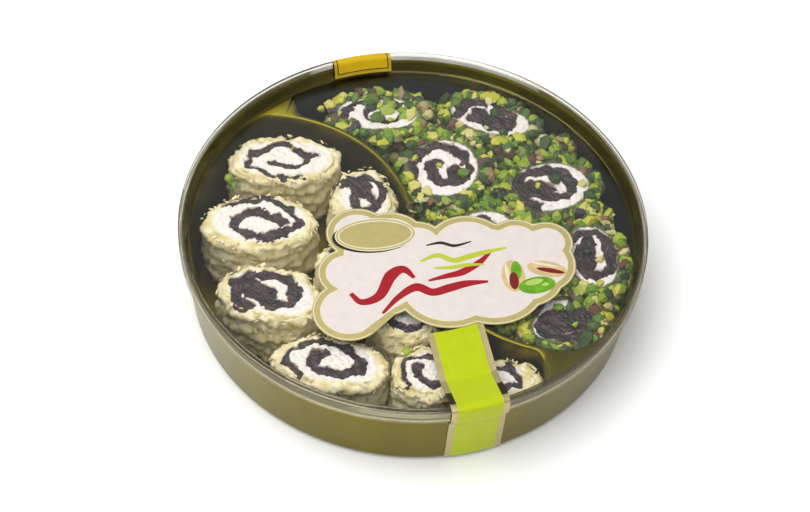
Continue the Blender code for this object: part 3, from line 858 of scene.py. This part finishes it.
BAND_HEADING = math.radians(-75)
BAND_OFFSET = 6.5 * MM
BAND_HALF = 12.0 * MM
FOIL = 2.6 * MM
SEAL_HEADING = math.radians(107.5)


CREASE_HEIGHT = 29.0 * MM
CREASE_SLOPE = 0.26
CREASE_WIDTH = 0.55 * MM


def strip_points(path, heading, offset, laterals, lift, crease=0.0):
    """Rows of points of a strip that follows a (radius, height) path, one row for each lateral."""
    path = np.array(path)
    along = np.gradient(path, axis=0)
    along /= np.linalg.norm(along, axis=1)[:, None]
    across = np.column_stack([-along[:, 1], along[:, 0]])
    rows = []
    for lateral in laterals:
        off = (path[:, 1] - CREASE_HEIGHT - lateral * CREASE_SLOPE) / CREASE_WIDTH
        ridge = crease * np.exp(-(off**2))
        raised = path + across * (lift + ridge)[:, None]
        turn = heading + np.arcsin((offset + lateral) / raised[:, 0])
        rows.append(np.column_stack([raised[:, 0] * np.cos(turn), raised[:, 0] * np.sin(turn), raised[:, 1]]))
    return rows


def strip_piece(name, path, line, span, layer, material, count, crease=0.0):
    """A closed thin strip: its line is heading and offset, its layer is lift and thickness."""
    (heading, offset), (low, high), (lift, thick) = line, span, layer
    laterals = np.linspace(low, high, count)
    under = strip_points(path, heading, offset, laterals, lift, crease)
    over = strip_points(path, heading, offset, laterals[::-1], lift + thick, crease)
    rings = np.array(under + over)
    rings = rings.transpose(1, 0, 2)
    around = rings.shape[1]
    points = rings.reshape(-1, 3)
    faces = ring_faces(len(rings), around)
    last = (len(rings) - 1) * around
    faces.append(tuple(reversed(range(around))))
    faces.append(tuple(range(last, last + around)))
    piece = new_piece(name, points, faces, [material])
    turn_faces_out(piece)
    return piece


def dense(path, step):
    """A path with its corners kept and points every step between them."""
    out = [path[0]]
    for a, b in zip(path, path[1:]):
        a, b = np.array(a), np.array(b)
        pieces = max(1, int(np.linalg.norm(b - a) / step))
        out += [tuple(a + (b - a) * (i + 1) / pieces) for i in range(pieces)]
    return out


def rounded(path, radius, step=0.5 * MM):
    """A dense path with its corners eased by averaging along it."""
    fine = np.array(dense(path, step))
    span = max(1, int(radius / step))
    kernel = np.ones(2 * span + 1) / (2 * span + 1)
    padded = np.vstack([np.repeat(fine[:1], span, 0), fine, np.repeat(fine[-1:], span, 0)])
    eased = np.column_stack([np.convolve(padded[:, k], kernel, "valid") for k in (0, 1)])
    eased[0], eased[-1] = fine[0], fine[-1]
    return eased


def band_path():
    """The band's line: along the panel, up over the rim, down the skirt and the tub's side."""
    top = LID_TOP + 0.12 * MM
    on_panel = PANEL_TOP + 0.10 * MM
    skirt_out = LID_RADIUS + 0.10 * MM
    return rounded(
        [
            (55.0 * MM, on_panel),
            (80.0 * MM, on_panel),
            (LID_RADIUS - 3.4 * MM, top),
            (LID_RADIUS - 0.3 * MM, top),
            (skirt_out, top - 0.8 * MM),
            (skirt_out, LID_TOP - SKIRT_DROP - 0.4 * MM),
            (98.0 * MM, 30.4 * MM),
            (97.55 * MM, 28.0 * MM),
            (95.9 * MM, 4.0 * MM),
            (95.2 * MM, 1.4 * MM),
        ],
        0.9 * MM,
    )


def seal_path():
    """The seal's line: up out of the recess, over the rim and down the skirt."""
    top = LID_TOP + 0.10 * MM
    return rounded(
        [
            (PANEL_RADIUS - 1.6 * MM, PANEL_TOP + 1.6 * MM),
            (LID_RADIUS - LEDGE_WIDTH - 0.6 * MM, top - 0.4 * MM),
            (LID_RADIUS - LEDGE_WIDTH + 0.2 * MM, top),
            (LID_RADIUS - 0.4 * MM, top),
            (LID_RADIUS + 0.08 * MM, top - 0.8 * MM),
            (LID_RADIUS + 0.08 * MM, LID_TOP - SKIRT_DROP + 0.9 * MM),
        ],
        0.7 * MM,
    )


# ---------------------------------------------------------------- whole pieces


TURN_STEPS = 288


def divider_mesh():
    """Points and faces of the S-shaped divider, its top edge rounded and its ends inside the wall."""
    levels = (
        (0.4 * MM, 1.6 * MM),
        (2.0 * MM, 1.4 * MM),
        (RIDGE_TOP - 1.1 * MM, 0.3 * MM),
        (RIDGE_TOP - 0.5 * MM, 0.15 * MM),
        (RIDGE_TOP - 0.15 * MM, -0.12 * MM),
        (RIDGE_TOP, -0.5 * MM),
    )
    sections = [divider_section(height, spread) for height, spread in levels]
    around = len(sections[0])
    faces = ring_faces(len(sections), around)
    half = around // 2
    for base in (0, (len(sections) - 1) * around):
        for arm in (0, half):
            for i in range(half // 2 - 1):
                near, far = base + arm + i, base + arm + half - 1 - i
                faces.append((near, near + 1, far - 1, far))
        faces.append((base, base + around - 1, base + half, base + half - 1))
    return np.concatenate(sections), faces


def make_tub(looks):
    """The tub with its divider."""
    points, faces = join_meshes(turned(tub_profile(), TURN_STEPS), divider_mesh())
    piece = new_piece("tub_sheet", points, faces, [lacquered_gold_sheet(tuple(looks.gold))])
    turn_faces_out(piece)
    return finish_piece(piece, ["tub"], 35)


BEAD_CENTRE = Vector((0.0, 13.5 * MM, PANEL_TOP))


def make_lid(looks):
    """The lid, with the little ring moulded in its panel."""
    upper, under = lid_profiles()
    profile = [(AXIS, PANEL_TOP)] + upper + under + [(AXIS, PANEL_TOP - SHEET)]
    bead = [(3.8, -0.2), (3.6, 0.35), (3.2, 0.6), (2.8, 0.35), (2.6, -0.2)]
    ring = lathe_rows([(r * MM, PANEL_TOP + z * MM) for r, z in bead], 48)
    ring[:, 1] += BEAD_CENTRE.y
    points, faces = join_meshes(turned(profile, TURN_STEPS), (ring, ring_faces(len(bead), 48, True)))
    panel = clear_sheet("clear_pet_flat_panel", looks.clear_tint, 0.010, 0.7, 0.06)
    rim = clear_sheet("clear_pet_thick_rim", looks.rim_tint, 0.20, 0.95, 0.07, 0.012 * MM)
    # The drawn wall gets a dark olive tint and more body: painted shade of the gap between lid and tub.
    wall = clear_sheet("clear_pet_drawn_wall_painted_shade", looks.wall_painted_shade_tint, 0.30, 0.8, 0.10, 0.012 * MM)
    piece = new_piece("lid_sheet", points, faces, [panel, rim, wall])
    turn_faces_out(piece)
    ledge = LID_RADIUS - LEDGE_WIDTH
    for polygon in piece.data.polygons:
        away = polygon.center.xy.length
        polygon.material_index = 1 if away > ledge else (2 if away > PANEL_RADIUS - 1.6 * MM else 0)
        if (polygon.center - BEAD_CENTRE).length < 4 * MM:
            polygon.material_index = 1
    return finish_piece(piece, ["lid"], 35)


def print_stack(name, sheets, materials):
    """One thin sheet with its print, each field of colour a little above the one below."""
    points, faces, picks, base = [], [], [], 0
    for outline, low, high, pick in sheets:
        count = len(outline)
        points += [(x, y, low) for x, y in outline] + [(x, y, high) for x, y in outline]
        local = [tuple(reversed(range(count))), tuple(range(count, 2 * count))]
        local += [(i, (i + 1) % count, count + (i + 1) % count, count + i) for i in range(count)]
        faces += [tuple(base + v for v in face) for face in local]
        picks += [pick] * len(local)
        base += 2 * count
    piece = new_piece(name, points, faces, materials)
    for polygon, pick in zip(piece.data.polygons, picks):
        polygon.material_index = pick
    turn_faces_out(piece)
    return piece


def in_plan(*places):
    """Places given in millimetres, as points in plan."""
    return [(x * MM, y * MM) for x, y in places]


STROKE_WEIGHT = 1.9
PLY = 0.02 * MM


def make_label(looks):
    """The cloud-shaped label: gold edge, pale field, bare oval plaque and a plain printed ornament."""
    low = LABEL_LOW.z
    base = LABEL_HIGH.z - 8 * PLY
    plaque = in_plan((-16.0, -4.2))[0]
    materials = [
        printed_paper("paper_gold_ink_satin", looks.label_gold, 0.36, 0.25),
        printed_paper("paper_ivory_ink_satin", "#CFC8B0", 0.4),
        printed_paper("paper_bare_coated", looks.label_field, 0.45),
        printed_paper("paper_dark_ink", "#26231A", 0.4),
        printed_paper("paper_red_ink", "#93101A", 0.35),
        printed_paper("paper_lime_ink", "#A6B233", 0.4),
        printed_paper("paper_shell_ink", "#BCA574", 0.4, 0.0, 0.12),
        printed_paper("paper_skin_ink", "#6E1715", 0.4),
        printed_paper("paper_kernel_ink", "#5D921A", 0.35, 0.0, 0.22),
        printed_paper("paper_pale_kernel_ink", "#9EBA5A", 0.35),
    ]
    gold, ivory, field, dark, red, lime, shell, skin, kernel, pale = range(len(materials))
    tilt = math.radians(10.5)
    sheets = [
        (cloud_outline(0.0), low, base, gold),
        (cloud_outline(0.5 * MM), low, base + 0.5 * PLY, ivory),
        (cloud_outline(0.9 * MM), low, base + PLY, gold),
        (cloud_outline(BORDER), low, base + 1.5 * PLY, ivory),
        (cloud_outline(BORDER + 0.3 * MM), low, base + 2 * PLY, field),
        (oval(in_plan((-17.1, -5.4))[0], 17.4 * MM, 8.9 * MM, tilt), low, base + 3 * PLY, dark),
        (oval(plaque, 17.4 * MM, 9.1 * MM, tilt), low, base + 4 * PLY, ivory),
        (oval(plaque, 16.9 * MM, 8.6 * MM, tilt), low, base + 4.5 * PLY, gold),
        (oval(plaque, 16.1 * MM, 7.8 * MM, tilt), low, base + 5 * PLY, ivory),
        (oval(plaque, 15.5 * MM, 7.2 * MM, tilt), low, base + 5.5 * PLY, gold),
    ]
    strokes = (
        (
            red,
            ((-24, -37), (-19, -41), (-12, -37), (-8, -26), (-3, -22), (2, -26)),
            (1.0, 1.6, 2.2, 2.8, 2.0, 0.8),
        ),
        (
            red,
            ((-10, -46), (-4, -37), (3, -31), (10, -33), (17, -30), (24, -27), (33, -25)),
            (0.6, 1.4, 2.2, 2.0, 2.2, 1.8, 0.6),
        ),
        (red, ((8, -27), (15, -24), (22, -21), (29, -15), (34, -8)), (0.5, 1.3, 1.8, 1.5, 0.5)),
        (
            lime,
            ((4, -17), (11, -13), (18, -15), (25, -12), (32, -9), (40, -6)),
            (0.5, 1.2, 1.4, 1.4, 1.2, 0.5),
        ),
        (lime, ((10, -20), (17, -19), (24, -17), (31, -16)), (0.4, 1.0, 1.0, 0.4)),
        (dark, ((6, -8), (12, -6), (18, -7), (25, -4)), (0.3, 0.8, 0.8, 0.3)),
    )
    for layer, (pick, places, widths) in enumerate(strokes):
        outline = stroke(in_plan(*places), [w * STROKE_WEIGHT * MM for w in widths])
        sheets.append((outline, low, base + (5.5 + 0.3 * layer) * PLY, pick))
    nuts = (
        (shell, (43.5, -21.0), 5.0, 8.4, 8, 3),
        (kernel, (44.6, -18.0), 2.3, 5.0, 4, 4),
        (skin, (43.9, -23.6), 2.0, 4.6, 6, 5),
        (ivory, (40.9, -20.0), 0.7, 5.4, 10, 5),
        (shell, (57.6, -15.8), 8.4, 4.2, -6, 3),
        (skin, (59.2, -16.6), 6.0, 1.2, -6, 4),
        (ivory, (56.6, -13.6), 5.8, 0.7, -8, 5),
        (kernel, (53.6, -25.0), 8.0, 4.3, 18, 5),
        (pale, (52.4, -23.4), 4.0, 1.5, 22, 6),
        (pale, (57.2, -24.2), 1.6, 0.9, 16, 6),
    )
    for pick, centre, half_long, half_wide, turn, plies in nuts:
        outline = oval(in_plan(centre)[0], half_long * MM, half_wide * MM, math.radians(turn), 40)
        sheets.append((outline, low, base + (plies + 1) * PLY, pick))
    piece = print_stack("label_print", sheets, materials)
    return finish_piece(piece, ["label"], 30)


def make_band(looks):
    """The closing band: lime ink between two foil edges, creased below the lid's skirt, with painted dark
    reflection on the foil over the rim.
    """
    path = band_path()
    lime = printed_paper("band_paper_lime_ink_gloss", looks.lime, 0.3)
    foil = printed_paper("band_paper_gold_foil", looks.foil, 0.25, 0.7)
    inner = BAND_HALF - FOIL
    fold = 0.22 * MM
    line = (BAND_HEADING, BAND_OFFSET)
    # Near-black foil edges over the rim's bend: painted dark reflection of the foil, not a real ink.
    dark = printed_paper("band_foil_painted_dark_reflection", "#2B2716", 0.3, 0.6)
    slope = path[(path[:, 0] > 88.0 * MM) & (path[:, 0] < 96.6 * MM) & (path[:, 1] > PANEL_TOP)]
    for side, low in (("left", -BAND_HALF), ("right", inner)):
        span, layer = (low, low + FOIL), (0.12 * MM, 0.04 * MM)
        edge = strip_piece("band_painted_dark_reflection_" + side, slope, line, span, layer, dark, 5)
        finish_piece(edge, (), 50)
    under = strip_piece("band_foil", path, line, (-BAND_HALF, BAND_HALF), (0.0, 0.12 * MM), foil, 17, fold)
    over = strip_piece("band_lime", path, line, (-inner, inner), (0.12 * MM, 0.05 * MM), lime, 17, fold)
    finish_piece(under, ["band"], 50)
    return finish_piece(over, (), 50)


def make_seal(looks):
    """The little seal across the rim at the back: yellow, with a gold edge and a thin dark line."""
    path = seal_path()
    half = 13.2 * MM
    edge = printed_paper("seal_tape_gold_ink", looks.seal_edge, 0.3, 0.3)
    face = printed_paper("seal_tape_yellow_ink", looks.seal, 0.3)
    line = printed_paper("seal_tape_dark_ink", "#3B3117", 0.35)
    pieces = (
        ("seal_edge", path, half, 0.0, 0.10 * MM, edge),
        ("seal_line", path[3:-3], half - 1.3 * MM, 0.10 * MM, 0.03 * MM, line),
        ("seal_face", path[4:-4], half - 1.8 * MM, 0.13 * MM, 0.03 * MM, face),
    )
    made = []
    for name, way, reach, lift, thick, material in pieces:
        piece = strip_piece(name, way, (SEAL_HEADING, 0.0), (-reach, reach), (lift, thick), material, 13)
        made.append(finish_piece(piece, ["seal"] if name == "seal_edge" else (), 50))
    return made[0]


SHRED_SEED = 41
SHREDS_ON_SIDE = 150
SHREDS_ON_EDGE = 26
SHRED_SQUASH = (1.0, 0.4, 0.22)


def make_coconut_rolls(looks):
    """The nine coconut rolls, their jelly and the shreds on them."""
    candy = aerated_candy("whipped_candy_coconut_coat", "#F1ECE4", "#CDC3B2", "#F0E8C4", "#D6C480", 0.34 * MM)
    jelly = dark_jelly()
    rng = np.random.default_rng(SHRED_SEED)
    seats = []
    for node in COCONUT_ROLLS:
        shape = RollShape(node)
        candy_body(shape, candy, looks.coconut_relief)
        jelly_layer(shape, jelly)
        for _ in range(SHREDS_ON_SIDE):
            level = min(0.97, rng.beta(1.6, 1.1))
            seats.append(side_seat(shape, rng.uniform(0, FULL_TURN), level, rng.uniform(0.2, 0.9) * MM))
        for _ in range(SHREDS_ON_EDGE):
            turn, share = rng.uniform(0, FULL_TURN), rng.uniform(0.8, 0.97)
            seats.append(face_seat(shape, turn, share, rng.uniform(-0.6, 0.1) * MM))
    sizes = rng.uniform(0.6, 1.7, len(seats)) * MM
    kinds = rng.uniform(0, 1, len(seats))
    return strew("coconut_shreds", seats, sizes, grated_coconut(), rng, kinds, SHRED_SQUASH)


# Loose kernels between the rolls: middle, half sizes in millimetres, and how many.
KERNEL_HEAPS = (
    ((40, 54), (15, 11), 380),
    ((8, 60), (12, 8), 220),
    ((35, 28), (12, 10), 240),
    ((14, 14), (12, 8), 160),
    ((58, 14), (14, 8), 200),
    ((78, 22), (8, 9), 120),
    ((62, 60), (9, 9), 160),
    ((58, -18), (12, 8), 140),
    ((82, -26), (6, 9), 90),
    ((-4, 78), (10, 7), 120),
)
HEAP_LOW, HEAP_HIGH = 12 * MM, 30 * MM
# Kernels on a roll's side and on its edge, and on the cut faces that differ from the rest.
KERNELS_ON_COAT = (260, 60)
FACE_KERNELS = {"pistachio_roll_1": 26, "pistachio_roll_3": 6}
KERNEL_SEED = 43
# Bits that have strayed: place in millimetres and kind, all of one size and height.
STRAYS = (
    ((-83, 27), 0.55),
    ((-80, 23), 0.4),
    ((-57, 47), 0.5),
    ((-52, 45), 0.62),
    ((1, -60), 0.6),
    ((-46, 73), 0.76),
    ((-42, 76), 0.78),
    ((-38, 70), 0.75),
)
STRAY_HEIGHT = 26.5 * MM
STRAY_SIZE = 2.6 * MM


def make_pistachio_rolls(looks):
    """The eight pistachio rolls, their jelly and the chopped kernels that coat them."""
    candy = aerated_candy("whipped_candy_nut_coat", "#F0E9E4", "#D2C5BC", "#66722F", "#333D1B", 0.34 * MM)
    jelly = dark_jelly()
    rng = np.random.default_rng(KERNEL_SEED)
    seats = []
    for node in PISTACHIO_ROLLS:
        shape = RollShape(node)
        candy_body(shape, candy, looks.coconut_relief * 0.6)
        jelly_layer(shape, jelly)
        seats += kernel_seats(shape, rng, *KERNELS_ON_COAT, FACE_KERNELS.get(node, 5))
    for centre, half, count in KERNEL_HEAPS:
        x, y = in_plan(centre)[0]
        seats += heap_seats(rng, (x, y), (half[0] * MM, half[1] * MM), HEAP_LOW, HEAP_HIGH, count)
    strays = in_plan(*(place for place, _ in STRAYS))
    seats += [((x, y, STRAY_HEIGHT), UP) for x, y in strays]
    low, high = looks.least_kernel, looks.largest_kernel
    sizes = low / 2 + (high - low) / 2 * rng.beta(1.6, 2.2, len(seats))
    kinds = rng.uniform(0, 1, len(seats))
    kinds[-len(STRAYS) :] = [kind for _, kind in STRAYS]
    sizes[-len(STRAYS) :] = STRAY_SIZE
    return strew("chopped_pistachio", seats, sizes, chopped_kernel(), rng, kinds)


# ---------------------------------------------------------------- the stage


CAMERA_AIM = Vector((0.0, 0.0, 20 * MM))
CAMERA_DISTANCE = 811.9 * MM
CAMERA_ELEVATION = math.radians(50.71)
CAMERA_ROLL = math.radians(4.32)
CAMERA_LENS = 83.16
CAMERA_SHIFT = (-0.00848148, -0.00854321)
SENSOR_WIDTH = 36.0
NEAREST = 0.01
FLOOR_HALF = 3.0
# The floor lies this far under the tub, so the two never share a plane.
FLOOR_DROP = 0.02 * MM


def make_light(name, place, size, power, shade="#FFFFFF"):
    """A soft box that faces the sweets."""
    lamp = bpy.data.lights.new(name, "AREA")
    lamp.shape = "RECTANGLE"
    lamp.size, lamp.size_y = size
    lamp.energy = power
    lamp.color = linear(shade)[:3]
    holder = bpy.data.objects.new(name, lamp)
    holder.location = place
    holder.rotation_euler = (CAMERA_AIM - Vector(place)).to_track_quat("-Z", "Y").to_euler()
    bpy.context.scene.collection.objects.link(holder)


def make_stage(looks):
    """Pale floor, soft studio light and the camera."""
    paper, tree, shader = new_material("white_board_matt", Roughness=0.9)
    cloud = speckle(tree, 60 * MM, 2.0)
    tint = [(0.2, linear("#FBFBFA")), (0.8, linear("#FFFFFF"))]
    add_node(tree, RAMP, {"Fac": cloud}, tint, into=shader.inputs["Base Color"])
    corners = [(x * FLOOR_HALF, y * FLOOR_HALF, -FLOOR_DROP) for x, y in ((-1, -1), (1, -1), (1, 1), (-1, 1))]
    floor = new_piece("floor", corners, [(0, 1, 2, 3)], [paper])
    world = bpy.data.worlds.new("studio_white")
    world.use_nodes = True
    sky = world.node_tree.nodes["Background"]
    sky.inputs["Color"].default_value = linear("#FFFFFF")
    sky.inputs["Strength"].default_value = looks.fill
    bpy.context.scene.world = world
    make_light("key_softbox", (-0.30, -0.05, 0.95), (1.1, 0.9), looks.key)
    make_light("front_softbox", (-0.45, -0.75, 0.70), (0.6, 0.4), looks.key * 0.16)
    view = bpy.context.scene.view_settings
    view.view_transform = "Standard"
    camera = bpy.data.cameras.new("camera")
    camera.lens = CAMERA_LENS
    camera.sensor_width = SENSOR_WIDTH
    camera.shift_x, camera.shift_y = CAMERA_SHIFT
    camera.clip_start = NEAREST
    holder = bpy.data.objects.new("camera", camera)
    away = Vector((0, -math.cos(CAMERA_ELEVATION), math.sin(CAMERA_ELEVATION)))
    holder.location = CAMERA_AIM + away * CAMERA_DISTANCE
    level = Matrix.Rotation(math.pi / 2 - CAMERA_ELEVATION, 4, "X")
    holder.rotation_euler = (level @ Matrix.Rotation(CAMERA_ROLL, 4, "Z")).to_euler()
    bpy.context.scene.collection.objects.link(holder)
    bpy.context.scene.camera = holder


# ---------------------------------------------------------------- the add-on


def colour_property(name, description, code):
    """A colour that a user may change, kept in linear light."""
    return FloatVectorProperty(
        name=name,
        description=description,
        subtype="COLOR",
        size=3,
        min=0.0,
        max=1.0,
        default=linear(code)[:3],
    )


def tint_property(name, what, code):
    """A colour that a user may change, kept as an sRGB hex code."""
    return StringProperty(name=name, description=what + ", as an sRGB hex code", default=code)


def length_property(name, description, default, least, most):
    """A length that a user may change, given here in millimetres."""
    return FloatProperty(
        name=name,
        description=description,
        subtype="DISTANCE",
        unit="LENGTH",
        default=default * MM,
        min=least * MM,
        max=most * MM,
    )


class BoxLooks(bpy.types.PropertyGroup):
    """Colours and finish of the tub, the lid and the papers."""

    gold: colour_property("Tub gold", "Lacquer of the tub and its divider", "#746A12")
    clear_tint: tint_property("Panel tint", "Tint of the clear panel", "#E9EEEC")
    rim_tint: tint_property("Rim tint", "Tint of the lid's rim", "#B8B298")
    # Dark tint of the lid's drawn wall: painted shade.
    wall_painted_shade_tint: tint_property("Wall painted shade", "Painted shade on the lid's drawn wall", "#70683F")
    label_gold: tint_property("Label edge", "Gold ink of the label", "#AA9E66")
    label_field: tint_property("Label field", "Paper of the label", "#CBC1BC")
    lime: tint_property("Band lime", "Ink of the closing band", "#A6B400")
    foil: tint_property("Band foil", "Foil edges of the band", "#B3A678")
    seal: tint_property("Seal yellow", "Ink of the seal", "#BE9C00")
    seal_edge: tint_property("Seal edge", "Edge of the seal", "#B6982A")


class SweetLooks(bpy.types.PropertyGroup):
    """Sizes of what coats the sweets."""

    coconut_relief: length_property("Coat relief", "How lumpy the coconut coat is", 0.95, 0.0, 2.5)
    least_kernel: length_property("Least kernel", "Length of the smallest bit of pistachio", 2.6, 0.5, 4)
    largest_kernel: length_property("Largest kernel", "Length of the largest bit of pistachio", 8.6, 2, 9)


class StageLooks(bpy.types.PropertyGroup):
    """Light of the stage."""

    key: FloatProperty(
        name="Key light", description="Power of the key light in watts", default=10.0, min=0.0, max=60.0
    )
    fill: FloatProperty(
        name="Fill light", description="Strength of the white surroundings", default=0.62, min=0.0, max=3.0
    )


class SWEETS_OT_tub(bpy.types.Operator):
    """Build the tub and its S-shaped divider"""

    bl_idname = "sweets.tub"
    bl_label = "Tub"

    def execute(self, context):
        make_tub(context.scene.box_looks)
        return {"FINISHED"}


class SWEETS_OT_coconut_rolls(bpy.types.Operator):
    """Build the coconut rolls with their jelly and shreds"""

    bl_idname = "sweets.coconut_rolls"
    bl_label = "Coconut rolls"

    def execute(self, context):
        make_coconut_rolls(context.scene.sweet_looks)
        return {"FINISHED"}


class SWEETS_OT_pistachio_rolls(bpy.types.Operator):
    """Build the pistachio rolls with their jelly and chopped kernels"""

    bl_idname = "sweets.pistachio_rolls"
    bl_label = "Pistachio rolls"

    def execute(self, context):
        make_pistachio_rolls(context.scene.sweet_looks)
        return {"FINISHED"}


class SWEETS_OT_lid(bpy.types.Operator):
    """Build the clear lid"""

    bl_idname = "sweets.lid"
    bl_label = "Lid"

    def execute(self, context):
        make_lid(context.scene.box_looks)
        return {"FINISHED"}


class SWEETS_OT_papers(bpy.types.Operator):
    """Build the label, the closing band and the seal"""

    bl_idname = "sweets.papers"
    bl_label = "Label, band and seal"

    def execute(self, context):
        looks = context.scene.box_looks
        make_label(looks)
        make_band(looks)
        make_seal(looks)
        return {"FINISHED"}


class SWEETS_OT_stage(bpy.types.Operator):
    """Build the floor, the light and the camera"""

    bl_idname = "sweets.stage"
    bl_label = "Stage"

    def execute(self, context):
        make_stage(context.scene.stage_looks)
        return {"FINISHED"}


OPERATORS = (
    SWEETS_OT_tub,
    SWEETS_OT_coconut_rolls,
    SWEETS_OT_pistachio_rolls,
    SWEETS_OT_lid,
    SWEETS_OT_papers,
    SWEETS_OT_stage,
)


class SWEETS_PT_panel(bpy.types.Panel):
    """Lists the pieces of the box"""

    bl_idname = "SWEETS_PT_panel"
    bl_label = "Turkish Delight Box"
    bl_space_type = "VIEW_3D"
    bl_region_type = "UI"
    bl_category = "Sweets"

    def draw(self, context):
        for group in (context.scene.box_looks, context.scene.sweet_looks, context.scene.stage_looks):
            for name in group.bl_rna.properties.keys():
                if name not in {"rna_type", "name"}:
                    self.layout.prop(group, name)
        for operator in OPERATORS:
            self.layout.operator(operator.bl_idname)


GROUPS = {"box_looks": BoxLooks, "sweet_looks": SweetLooks, "stage_looks": StageLooks}


def register():
    for name, group in GROUPS.items():
        bpy.utils.register_class(group)
        setattr(bpy.types.Scene, name, PointerProperty(type=group))
    for kind in (*OPERATORS, SWEETS_PT_panel):
        bpy.utils.register_class(kind)


def unregister():
    for kind in reversed((*OPERATORS, SWEETS_PT_panel)):
        bpy.utils.unregister_class(kind)
    for name, group in GROUPS.items():
        delattr(bpy.types.Scene, name)
        bpy.utils.unregister_class(group)


def main():
    """Build every piece in order."""
    register()
    for operator in OPERATORS:
        family, act = operator.bl_idname.split(".")
        getattr(getattr(bpy.ops, family), act)()


if __name__ == "__main__":
    main()
